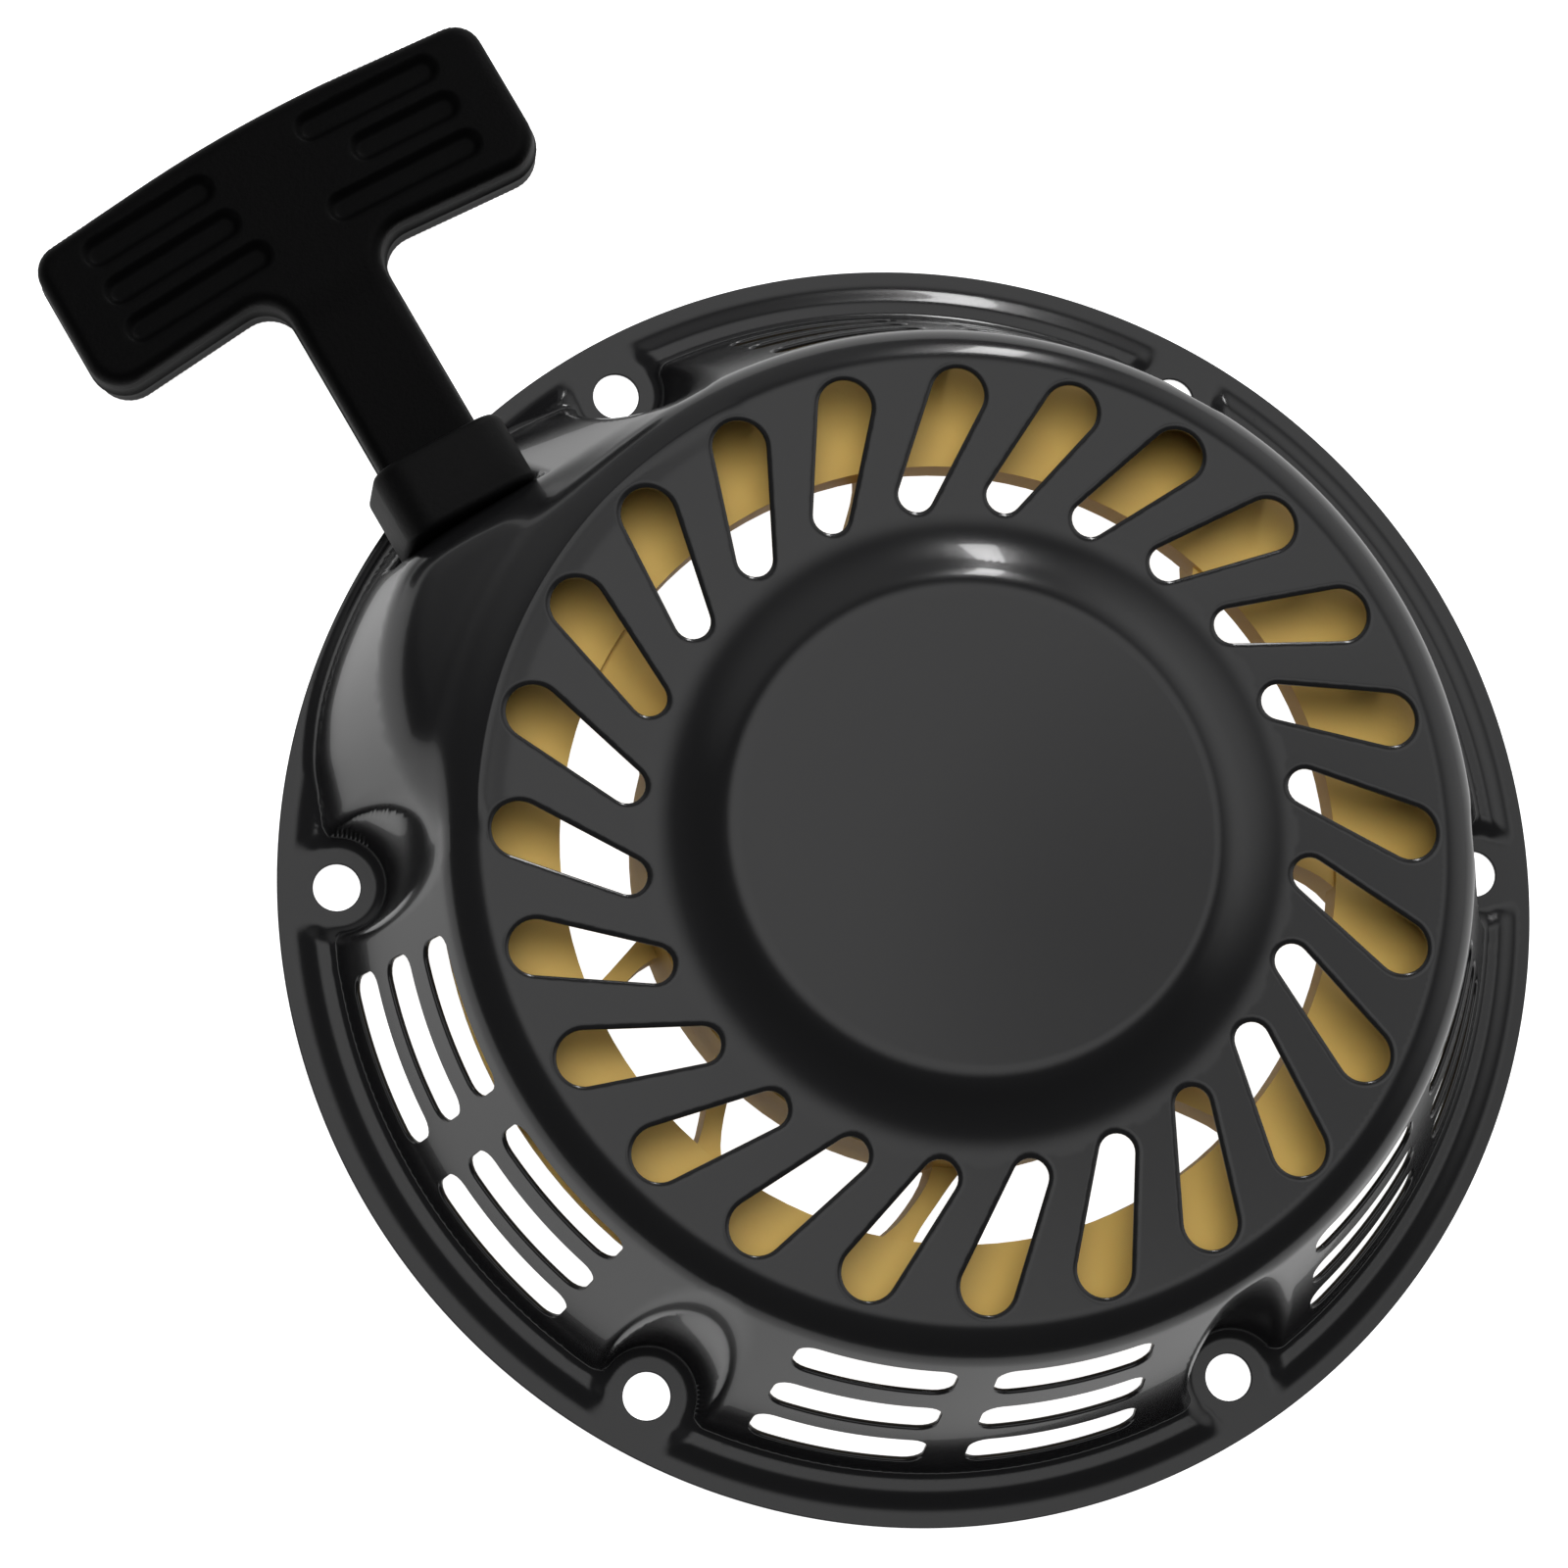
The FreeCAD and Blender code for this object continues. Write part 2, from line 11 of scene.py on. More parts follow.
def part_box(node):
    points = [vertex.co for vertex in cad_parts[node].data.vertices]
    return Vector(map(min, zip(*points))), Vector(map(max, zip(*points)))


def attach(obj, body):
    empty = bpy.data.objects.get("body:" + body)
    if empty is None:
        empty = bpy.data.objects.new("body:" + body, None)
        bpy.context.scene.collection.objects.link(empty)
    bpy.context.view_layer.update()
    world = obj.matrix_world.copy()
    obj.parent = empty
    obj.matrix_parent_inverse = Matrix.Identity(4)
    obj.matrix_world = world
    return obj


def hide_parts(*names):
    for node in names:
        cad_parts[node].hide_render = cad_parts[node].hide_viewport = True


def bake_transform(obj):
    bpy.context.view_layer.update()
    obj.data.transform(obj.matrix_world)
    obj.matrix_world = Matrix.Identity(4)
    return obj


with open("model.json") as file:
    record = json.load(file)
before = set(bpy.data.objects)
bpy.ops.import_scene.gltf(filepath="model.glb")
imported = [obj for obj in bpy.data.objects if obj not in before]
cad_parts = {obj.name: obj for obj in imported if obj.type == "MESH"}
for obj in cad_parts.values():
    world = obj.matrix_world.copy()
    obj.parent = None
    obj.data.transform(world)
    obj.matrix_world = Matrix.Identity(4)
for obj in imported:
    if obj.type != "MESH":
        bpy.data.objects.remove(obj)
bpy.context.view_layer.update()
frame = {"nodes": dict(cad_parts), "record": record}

MM = 0.001

# ---- sizes in millimetres --------------------------------------------------------
SHEET, FLANGE_R, HOLE_C, HOLE_R, HOLE_PHASE = 1.0, 111.5, 101.5, 4.25, 31.5
WALL_R0, WALL_K, CASE_H = 103.4, 0.372, 49.6
DOME_R0, DOME_R1, DOME_H = 49.3, 41.5, 4.3
PULL_X, PULL_Z, SEAT_Y = -42.0, 26.0, 88.5
GUIDE_W, GUIDE_D = 24.5, 24.0
VENT_ROWS, VENT_SPANS, VENT_HALF, VENT_CORNER = (11.4, 24.4, 38.3), ((9.5, 27.0), (31.0, 48.5)), 4.8, 3.2
SLOT_A, SLOT_B = (74.2, 0.7, 4.7), (57.2, 8.4, 3.2)
ROPE_R, KNOT_ANG = 2.5, 121
GRIP_ROLL = -9.0
GRIP_L, GRIP_T, GRIP_Y0, GRIP_Y1 = 85.0, 15.5, 138.2, 166.0
STEM_W, STEM_T, STEM_Y0 = 18.0, 13.0, 94.0


# ---- mesh helpers -----------------------------------------------------------------
def mesh_piece(name, verts, faces, normals=None):
    """Mesh object from vertices in millimetres; normals are one per vertex."""
    me = bpy.data.meshes.new(name)
    me.from_pydata((np.asarray(verts) * MM).tolist(), [], [tuple(map(int, f)) for f in faces])
    me.polygons.foreach_set("use_smooth", [True] * len(me.polygons))
    if normals is not None:
        me.normals_split_custom_set_from_vertices(np.asarray(normals).tolist())
    me.update()
    ob = bpy.data.objects.new(name, me)
    bpy.context.scene.collection.objects.link(ob)
    return ob


def circle(r, n, centre=(0, 0), a0=0.0):
    t = np.arange(n) * 2 * math.pi / n + a0
    return np.array(centre) + r * np.stack([np.cos(t), np.sin(t)], 1)


def turn(p, deg):
    c, s = math.cos(math.radians(deg)), math.sin(math.radians(deg))
    return p @ np.array([[c, s], [-s, c]])


def triangulate(loops, points, inside, unroll=lambda p: p):
    """Triangles over closed loops and loose points; inside() keeps the wanted centres."""
    flat = np.concatenate(list(loops) + [points])
    edges, n = [], 0
    for loop in loops:
        ids = np.arange(n, n + len(loop))
        edges += list(zip(ids.tolist(), np.roll(ids, -1).tolist()))
        n += len(loop)
    plan = [Vector(p) for p in unroll(flat)]
    _, _, faces, origin, _, _ = delaunay_2d_cdt(plan, edges, [], 0, 1e-5)
    origin = np.array([o[0] for o in origin])
    tri = origin[np.array([f for f in faces if len(f) == 3])]
    a, b, c = (flat[tri[:, i]] for i in range(3))
    area = (b - a)[:, 0] * (c - a)[:, 1] - (b - a)[:, 1] * (c - a)[:, 0]
    tri[area < 0] = tri[area < 0][:, ::-1]
    return flat, tri[inside((a + b + c) / 3)]


def round_and(a, b, r):
    """Common part of two distance fields, outer edge rounded to r."""
    return np.minimum(-r, np.maximum(a, b)) + np.hypot(np.maximum(a + r, 0), np.maximum(b + r, 0))


def round_or(a, b, r):
    """Both of two distance fields, inner corner filled to r."""
    return np.maximum(r, np.minimum(a, b)) - np.hypot(np.maximum(r - a, 0), np.maximum(r - b, 0))


def rounded_loop(corners, arc=6):
    """Closed loop of 2-D corners (x, y, radius), counter-clockwise, with arcs."""
    out, n = [], len(corners)
    for i, (x, y, r) in enumerate(corners):
        p = np.array([x, y], float)
        u = np.array(corners[i - 1][:2], float) - p
        w = np.array(corners[(i + 1) % n][:2], float) - p
        lu, lw = np.linalg.norm(u), np.linalg.norm(w)
        u, w = u / lu, w / lw
        half = math.acos(max(-1.0, min(1.0, float(u @ w)))) / 2
        if r <= 0 or abs(half - math.pi / 2) < 1e-4:
            out.append(p)
            continue
        r = min(r, 0.49 * min(lu, lw) * math.tan(half))
        t = r / math.tan(half)
        mid = (u + w) / np.linalg.norm(u + w)
        c = p + mid * r / math.sin(half)
        s, e = p + u * t - c, p + w * t - c
        a0 = math.atan2(s[1], s[0])
        da = (math.atan2(e[1], e[0]) - a0 + math.pi) % (2 * math.pi) - math.pi
        for k in range(arc + 1):
            a = a0 + da * k / arc
            out.append(c + r * np.array([math.cos(a), math.sin(a)]))
    return np.array(out)


def clean(ob):
    """Merge doubles, drop flat faces and point the faces outwards."""
    bm = bmesh.new()
    bm.from_mesh(ob.data)
    bmesh.ops.remove_doubles(bm, verts=bm.verts, dist=1e-6)
    bmesh.ops.dissolve_degenerate(bm, edges=bm.edges, dist=1e-7)
    bmesh.ops.recalc_face_normals(bm, faces=bm.faces)
    bm.to_mesh(ob.data)
    bm.free()
    ob.data.polygons.foreach_set("use_smooth", [True] * len(ob.data.polygons))
    return ob


def place(ob, matrix):
    ob.data.transform(matrix)
    return ob


def loft(name, rings):
    """Skin over rings of equal length, the last one meeting the first."""
    n = len(rings[0])
    verts = np.concatenate(rings)
    faces = []
    for i in range(len(rings) - 1):
        for k in range(n):
            m = (k + 1) % n
            faces.append((i * n + k, i * n + m, (i + 1) * n + m, (i + 1) * n + k))
    return clean(mesh_piece(name, verts, faces))


# ---- materials ----------------------------------------------------------------------
class S:
    """A socket that takes arithmetic."""

    def __init__(self, tree, sock):
        self.tree, self.sock = tree, sock

    def _m(self, op, a, b=None):
        n = self.tree.nodes.new("ShaderNodeMath")
        n.operation = op
        for i, v in enumerate((a, b)):
            if isinstance(v, S):
                self.tree.links.new(v.sock, n.inputs[i])
            elif v is not None:
                n.inputs[i].default_value = v
        return S(self.tree, n.outputs[0])

    def __add__(self, o): return self._m("ADD", self, o)
    def __radd__(self, o): return self._m("ADD", o, self)
    def __sub__(self, o): return self._m("SUBTRACT", self, o)
    def __rsub__(self, o): return self._m("SUBTRACT", o, self)
    def __mul__(self, o): return self._m("MULTIPLY", self, o)
    def __rmul__(self, o): return self._m("MULTIPLY", o, self)
    def sin(self): return self._m("SINE", self)
    def most(self, o): return self._m("MAXIMUM", self, o)
    def clamp(self): return self._m("MINIMUM", self._m("MAXIMUM", self, 0.0), 1.0)


class Finish:
    """A node material with one principled shader."""

    def __init__(self, name, **fixed):
        self.mat = bpy.data.materials.new(name)
        self.mat.use_nodes = True
        self.tree = self.mat.node_tree
        self.shader = self.tree.nodes["Principled BSDF"]
        for key, v in fixed.items():
            self.shader.inputs[key.replace("_", " ")].default_value = v

    def node(self, kind, settings=None, **inputs):
        n = self.tree.nodes.new(kind)
        for k, v in (settings or {}).items():
            setattr(n, k, v)
        for k, v in inputs.items():
            by_place = k[0] == "i" and k[1:].isdigit()
            sock = n.inputs[int(k[1:])] if by_place else n.inputs[k.replace("_", " ")]
            if isinstance(v, S):
                self.tree.links.new(v.sock, sock)
            else:
                sock.default_value = v
        return n

    def out(self, n, key=0):
        return S(self.tree, n.outputs[key])

    def coords(self, scale=(1, 1, 1)):
        tc = self.node("ShaderNodeTexCoord")
        mp = self.node("ShaderNodeMapping", i0=self.out(tc, "Object"), Scale=scale)
        return self.out(mp)

    def noise(self, vec, scale, detail=3.0, rough=0.5):
        return self.out(self.node("ShaderNodeTexNoise", Vector=vec, Scale=scale, Detail=detail,
                                  Roughness=rough), "Fac")

    def mix(self, fac, a, b):
        n = self.node("ShaderNodeMix", {"data_type": "RGBA"})
        for i, v in ((0, fac), (6, a), (7, b)):
            if isinstance(v, S):
                self.tree.links.new(v.sock, n.inputs[i])
            else:
                n.inputs[i].default_value = v
        return S(self.tree, n.outputs[2])

    def bump(self, height, strength, distance):
        return self.out(self.node("ShaderNodeBump", Height=height, Strength=strength,
                                  Distance=distance))

    def feed(self, **links):
        for k, v in links.items():
            self.tree.links.new(v.sock, self.shader.inputs[k.replace("_", " ")])
        return self.mat


def gloss_black_paint():
    f = Finish("gloss_black_paint", IOR=1.5, Coat_Roughness=0.04, Coat_IOR=1.5)
    p = f.coords()
    broad, fine = f.noise(p, 22.0, 2.0), f.noise(p, 420.0, 2.0)
    speck = (f.noise(p, 2600.0, 1.0) - 0.72).clamp() * 4.0
    f.shader.inputs["Coat Weight"].default_value = 0.35
    col = f.mix(speck.clamp() * 0.35, (0.0075, 0.0075, 0.008, 1), (0.03, 0.03, 0.03, 1))
    peel = f.bump(fine, 0.018, 0.0006)
    return f.feed(Base_Color=col, Roughness=0.16 + broad * 0.1, Normal=peel)


def moulded_nylon():
    f = Finish("moulded_nylon", IOR=1.53, Subsurface_Weight=0.12, Subsurface_Scale=0.004)
    p = f.coords()
    n1, n2 = f.noise(p, 30.0, 4.0), f.noise(p, 900.0, 3.0)
    col = f.mix(n1, (0.56, 0.355, 0.085, 1), (0.70, 0.475, 0.14, 1))
    return f.feed(Base_Color=col, Roughness=0.38 + n2 * 0.16, Normal=f.bump(n2, 0.08, 0.0004))


def black_moulding(name, tone, rough, grain, shine=0.3):
    f = Finish(name, IOR=1.48, Specular_IOR_Level=shine)
    p = f.coords()
    n1, n2, n3 = f.noise(p, 45.0, 4.0), f.noise(p, grain, 4.0, 0.6), f.noise(p, 260.0, 2.0)
    col = f.mix(n1, (tone, tone, tone * 1.05, 1), (tone * 1.7, tone * 1.7, tone * 1.8, 1))
    rub = f.bump(n2 + n3 * 0.6, 0.22, 0.0003)
    return f.feed(Base_Color=col, Roughness=rough + n1 * 0.14, Normal=rub)


def steel(name, tone, rough, streak=(1, 1, 1), tint=(1, 1, 1)):
    f = Finish(name, Metallic=1.0)
    p = f.coords(scale=streak)
    n1, n2 = f.noise(p, 140.0, 4.0, 0.6), f.noise(f.coords(), 38.0, 3.0)
    lo = tuple(tone * c * 0.72 for c in tint) + (1,)
    hi = tuple(tone * c * 1.15 for c in tint) + (1,)
    return f.feed(Base_Color=f.mix(n2, lo, hi), Roughness=rough + n1 * 0.16 + n2 * 0.06,
                  Normal=f.bump(n1, 0.10, 0.0002))


def braided_rope():
    """Diamond braid from the tube's own map: u along in metres, v round 0..1."""
    f = Finish("braided_rope", IOR=1.45, Sheen_Weight=0.4, Sheen_Roughness=0.5)
    tc = f.node("ShaderNodeTexCoord")
    sep = f.node("ShaderNodeSeparateXYZ", i0=f.out(tc, "UV"))
    u, v = f.out(sep, 0), f.out(sep, 1)
    a = ((u * 820.0 + v * 8.0) * math.pi).sin()
    b = ((u * 820.0 - v * 8.0) * math.pi).sin()
    braid_rise_and_groove_shade = (a * b) * 0.5 + 0.5
    strand = ((u * 5200.0 + v * 70.0)).sin() * 0.5 + 0.5
    tick = (((u * 205.0 + v * 2.0) * math.pi).sin() - 0.9).clamp() * 8.0
    fuzz = f.noise(f.coords(), 1500.0, 3.0)
    # The colour follows the braid's height: the grooves between the strands are painted darker and the
    # ridges lighter, which is painted shade. The dark ticks are a real pattern.
    col = f.mix(braid_rise_and_groove_shade, (0.42, 0.41, 0.38, 1), (0.80, 0.79, 0.75, 1))
    col = f.mix(tick.clamp() * 0.8, col, (0.08, 0.09, 0.12, 1))
    rise = braid_rise_and_groove_shade * 0.8 + strand * 0.15 + fuzz * 0.15
    return f.feed(Base_Color=col, Roughness=0.72 + fuzz * 0.2, Normal=f.bump(rise, 0.8, 0.0006))


PAINT = gloss_black_paint()
NYLON = moulded_nylon()
GRIP_PLASTIC = black_moulding("grip_plastic", 0.0012, 0.42, 1500.0, 0.10)
GUIDE_PLASTIC = black_moulding("guide_plastic", 0.0018, 0.46, 1100.0, 0.16)
CAM_PLASTIC = black_moulding("cam_plastic", 0.012, 0.42, 900.0)
ZINC = steel("zinc_plate", 0.62, 0.26, tint=(1.0, 1.0, 1.02))
YELLOW_ZINC = steel("yellow_zinc", 0.60, 0.28, tint=(1.0, 0.88, 0.58))
SPRING_STEEL = steel("spring_steel", 0.30, 0.30, streak=(1, 1, 6))
RATCHET_STEEL = steel("ratchet_steel", 0.40, 0.42)
ROPE = braided_rope()


def finish(ob, mat):
    ob.data.materials.clear()
    ob.data.materials.append(mat)
    return ob


# ---- pressed case ---------------------------------------------------------------------
# bulge round the rope outlet: angle, radius at z = 0, radius at z = 40
BULGE = np.array([
    (60.0, 60.0, 60.0), (84.0, 97.0, 80.0), (90.0, 102.0, 86.0), (96.0, 104.0, 86.6),
    (100.0, 106.4, 87.4), (105.0, 108.4, 89.2), (110.0, 109.2, 91.6), (115.0, 109.4, 94.9),
    (120.0, 109.4, 99.3), (123.0, 109.4, 101.6), (127.0, 109.4, 101.0), (131.0, 109.3, 99.8),
    (135.0, 109.0, 98.0), (140.0, 107.8, 95.0), (145.0, 105.0, 90.6), (149.0, 102.0, 87.0),
    (154.0, 97.0, 80.0), (176.0, 60.0, 60.0)])
_deg = np.arange(40.0, 200.0, 0.25)
_blur = np.exp(-0.5 * (np.arange(-14, 15) * 0.25 / 1.1) ** 2)
_blur /= _blur.sum()
_foot, _brow = (np.convolve(np.interp(_deg, BULGE[:, 0], BULGE[:, i]), _blur, "same") for i in (1, 2))
HOLES = [(HOLE_C * math.cos(math.radians(HOLE_PHASE + 60 * k)),
          HOLE_C * math.sin(math.radians(HOLE_PHASE + 60 * k))) for k in range(6)]
VENTS = [(z, HOLE_PHASE + 60 * k + a, HOLE_PHASE + 60 * k + b)
         for k in (0, 2, 3, 4, 5) for z in VENT_ROWS for a, b in VENT_SPANS]


def case_field(x, y, z):
    """Distance from the outer skin of the pressing, positive outside."""
    r = np.hypot(x, y)
    th = np.degrees(np.arctan2(y, x)) % 360
    f = round_and((r + WALL_K * z - WALL_R0) / math.hypot(1, WALL_K), z - CASE_H, 5.0)
    kd = (DOME_R0 - DOME_R1) / DOME_H
    side = (r + kd * np.maximum(z - CASE_H, -1.5) - DOME_R0) / math.hypot(1, kd)
    f = round_or(f, round_and(side, z - CASE_H - DOME_H, 0.9), 2.4)
    foot, brow = np.interp(th, _deg[16:-16], _foot[16:-16]), np.interp(th, _deg[16:-16], _brow[16:-16])
    side = (r - foot + (foot - brow) * z / 40.0) * 0.95
    lid = (z - CASE_H + 1.6 + 0.5 * np.abs(r - 81.0)) * 0.894
    f = round_or(f, round_and(side, lid, 5.0), 4.0)
    seat = np.maximum(np.maximum(88.3 + 0.06 * (40 - z) - y, np.abs(x - PULL_X) - 13.6), 12.4 - z)
    f = round_and(f, -seat, 0.8)
    f = round_or(f, round_and(z - 1.75, (r - 105.9) * 0.6, 0.5), 1.0)
    for hx, hy in HOLES:
        d = np.hypot(x - hx, y - hy)
        f = round_and(f, -(d - 8.6 - 0.125 * (z - SHEET)) * 0.992, 2.0)
    return round_or(f, z - SHEET, 2.2)


def solve_height(field, x, y, low, high, steps=24):
    lo, hi = np.full_like(x, low), np.full_like(x, high)
    for _ in range(steps):
        mid = 0.5 * (lo + hi)
        out = field(x, y, mid) > 0
        hi, lo = np.where(out, mid, hi), np.where(out, lo, mid)
    return 0.5 * (lo + hi)


def field_normals(field, x, y, z, e=0.05):
    n = np.stack([field(x + e, y, z) - field(x - e, y, z), field(x, y + e, z) - field(x, y - e, z),
                  field(x, y, z + e) - field(x, y, z - e)], 1)
    return n / np.linalg.norm(n, axis=1, keepdims=True)


_r = np.linspace(0, 120, 2401)
_stretch = np.convolve(np.pad(np.where((_r > 80) & (_r < 104.5), 2.6, 1.0), 20, "edge"),
                       np.ones(41) / 41, "valid")
_rho = np.concatenate([[0], np.cumsum((_stretch[1:] + _stretch[:-1]) / 2 * 0.05)])


def unroll_wall(p):
    r = np.hypot(p[:, 0], p[:, 1])
    return p * (np.interp(r, _r, _rho) / np.maximum(r, 1e-9))[:, None]


def slot_ends():
    (ra, aa, _), (rb, ab, _) = SLOT_A, SLOT_B
    return [np.array([r * math.cos(math.radians(a)), r * math.sin(math.radians(a))])
            for r, a in ((ra, aa), (rb, ab))]


def slot_loop(off, n1=22, n2=14, nl=14):
    a, b = slot_ends()
    ea, eb, d = SLOT_A[2] + off, SLOT_B[2] + off, b - a
    base = math.atan2(d[1], d[0])
    phi = math.acos((ea - eb) / np.linalg.norm(d))
    t1 = np.linspace(base + phi, base + 2 * math.pi - phi, n1)
    t2 = np.linspace(base - phi, base + phi, n2)
    pa = a + ea * np.stack([np.cos(t1), np.sin(t1)], 1)
    pb = b + eb * np.stack([np.cos(t2), np.sin(t2)], 1)
    f = np.linspace(0, 1, nl + 2)[1:-1, None]
    return np.concatenate([pa, pa[-1] + (pb[0] - pa[-1]) * f, pb, pb[-1] + (pa[0] - pb[-1]) * f])


def slot_distance(p):
    """Distance from the nearest teardrop slot's edge, positive outside."""
    a, b = slot_ends()
    ea, eb, span = SLOT_A[2], SLOT_B[2], np.linalg.norm(b - a)
    ax = (b - a) / span
    s = (ea - eb) / span
    c = math.sqrt(1 - s * s)
    base = np.floor(np.degrees(np.arctan2(p[:, 1], p[:, 0])) / 15)
    best = np.full(len(p), 99.0)
    for k in (-1, 0, 1):
        t = -np.radians(15 * (base + k))
        q = np.stack([p[:, 0] * np.cos(t) - p[:, 1] * np.sin(t),
                      p[:, 0] * np.sin(t) + p[:, 1] * np.cos(t)], 1) - a
        u, v = np.abs(q @ np.array([-ax[1], ax[0]])), q @ ax
        k1 = v * c - u * s
        d = np.where(k1 < 0, np.hypot(u, v) - ea,
                     np.where(k1 > c * span, np.hypot(u, v - span) - eb, u * c + v * s - ea))
        best = np.minimum(best, d)
    return best


def vent_loop(z0, a0, a1, off, n=6, nl=16, ns=3):
    r0 = WALL_R0 - WALL_K * z0
    c = VENT_CORNER + off
    x, y = math.radians(a1 - a0) * r0 / 2 - VENT_CORNER, VENT_HALF - VENT_CORNER
    t = np.linspace(0, math.pi / 2, n)
    out = []
    for k, (sx, sy) in enumerate(((1, 1), (-1, 1), (-1, -1), (1, -1))):
        a = t + k * math.pi / 2
        out.append(np.stack([sx * x + c * np.cos(a), sy * y + c * np.sin(a)], 1))
        m = nl if k % 2 == 0 else ns
        end = out[-1][-1]
        side = np.array(((-2 * x, 0), (0, -2 * y), (2 * x, 0), (0, 2 * y))[k])
        out.append(end + side * np.linspace(0, 1, m + 2)[1:-1, None])
    u = np.concatenate(out)
    r = r0 - u[:, 1] * WALL_K / math.hypot(1, WALL_K)
    th = math.radians((a0 + a1) / 2) + u[:, 0] / r0
    return np.stack([r * np.cos(th), r * np.sin(th)], 1)


def vent_distance(p):
    slope = math.hypot(1, WALL_K)
    r = np.hypot(p[:, 0], p[:, 1])
    th = np.degrees(np.arctan2(p[:, 1], p[:, 0])) % 360
    best = np.full(len(p), 99.0)
    for z0, a0, a1 in VENTS:
        r0 = WALL_R0 - WALL_K * z0
        off_centre = np.abs(np.radians((th - (a0 + a1) / 2 + 180) % 360 - 180) * r0)
        u = off_centre - math.radians(a1 - a0) * r0 / 2 + VENT_CORNER
        v = np.abs((WALL_R0 - r) / WALL_K * slope - z0 * slope) - VENT_HALF + VENT_CORNER
        d = np.hypot(np.maximum(u, 0), np.maximum(v, 0)) + np.minimum(np.maximum(u, v), 0) - VENT_CORNER
        best = np.minimum(best, d)
    return best


def hole_distance(p):
    return np.min([np.hypot(p[:, 0] - x, p[:, 1] - y) for x, y in HOLES], axis=0)


def case_points(step):
    """Loose points, closer where the form bends; step 1 is the outer skin's."""
    radii = [2, 5, 10, 16, 22, 28, 33, 36.5, 38.8]
    radii += list(np.arange(40, 51.6, 0.5 * step)) + [53, 55.5, 58, 61, 64, 67, 70, 73, 76]
    radii += list(np.arange(77.5, 87.5, 0.42 * step)) + list(np.arange(87.5, 100.5, 0.7 * step))
    radii += list(np.arange(100.5, 111.1, 0.3 * step))
    base = []
    for i, r in enumerate(radii):
        n = int(360 / step) if r > 76 else int(max(10, min(300, 2 * math.pi * r / (1.3 * step))))
        base.append(circle(r, n, a0=(i % 2) * math.pi / n))
    base = np.concatenate(base)
    seat = (np.abs(base[:, 0] - PULL_X) < 17) & (base[:, 1] > 85.5) & (base[:, 1] < 95.5)
    base = base[(hole_distance(base) > 15.6) & (slot_distance(base) > 1.9)
                & (vent_distance(base) > 1.3) & ~seat]
    extra = []
    for off in (0.28, 0.62, 1.05, 1.6)[::int(step)]:
        loop = slot_loop(off, 20, 12, 10)
        extra += [turn(loop, 15 * k) for k in range(24)]
    for off in (0.4, 0.9)[::int(step)]:
        extra += [vent_loop(z, a, b, off, 5, 12) for z, a, b in VENTS]
    for c in HOLES:
        rings = [4.7, 5.4, 6.2, 6.9] + list(np.arange(7.4, 15.4, 0.3 * step))
        for i, d in enumerate(rings):
            n = int((26 + d * 5.2) / step)
            extra.append(circle(d, n, c, a0=(i % 2) * math.pi / n))
    seat_rows = [np.arange(86, 88, 0.5 * step), np.arange(88, 91.6, 0.22 * step),
                 np.arange(91.8, 95.4, 0.7 * step)]
    gx, gy = np.meshgrid(np.arange(-58.6, -25.4, 0.9 * step), np.concatenate(seat_rows))
    extra.append(np.stack([gx.ravel(), gy.ravel()], 1))
    pts = np.concatenate([base] + extra)
    pts = pts[np.hypot(pts[:, 0], pts[:, 1]) < FLANGE_R - 0.25]
    return pts[(hole_distance(pts) > HOLE_R + 0.2) & (slot_distance(pts) > 0.14)
               & (vent_distance(pts) > 0.2)]


def in_sheet(p):
    return ((slot_distance(p) > 0) & (vent_distance(p) > 0) & (hole_distance(p) > HOLE_R * 0.995)
            & (np.hypot(p[:, 0], p[:, 1]) < FLANGE_R))


ROLL_WIDTH, ROLL_DEPTH, ROLL_LEAN = 0.9, 0.22, 0.49    # the top slots' edges are rolled in


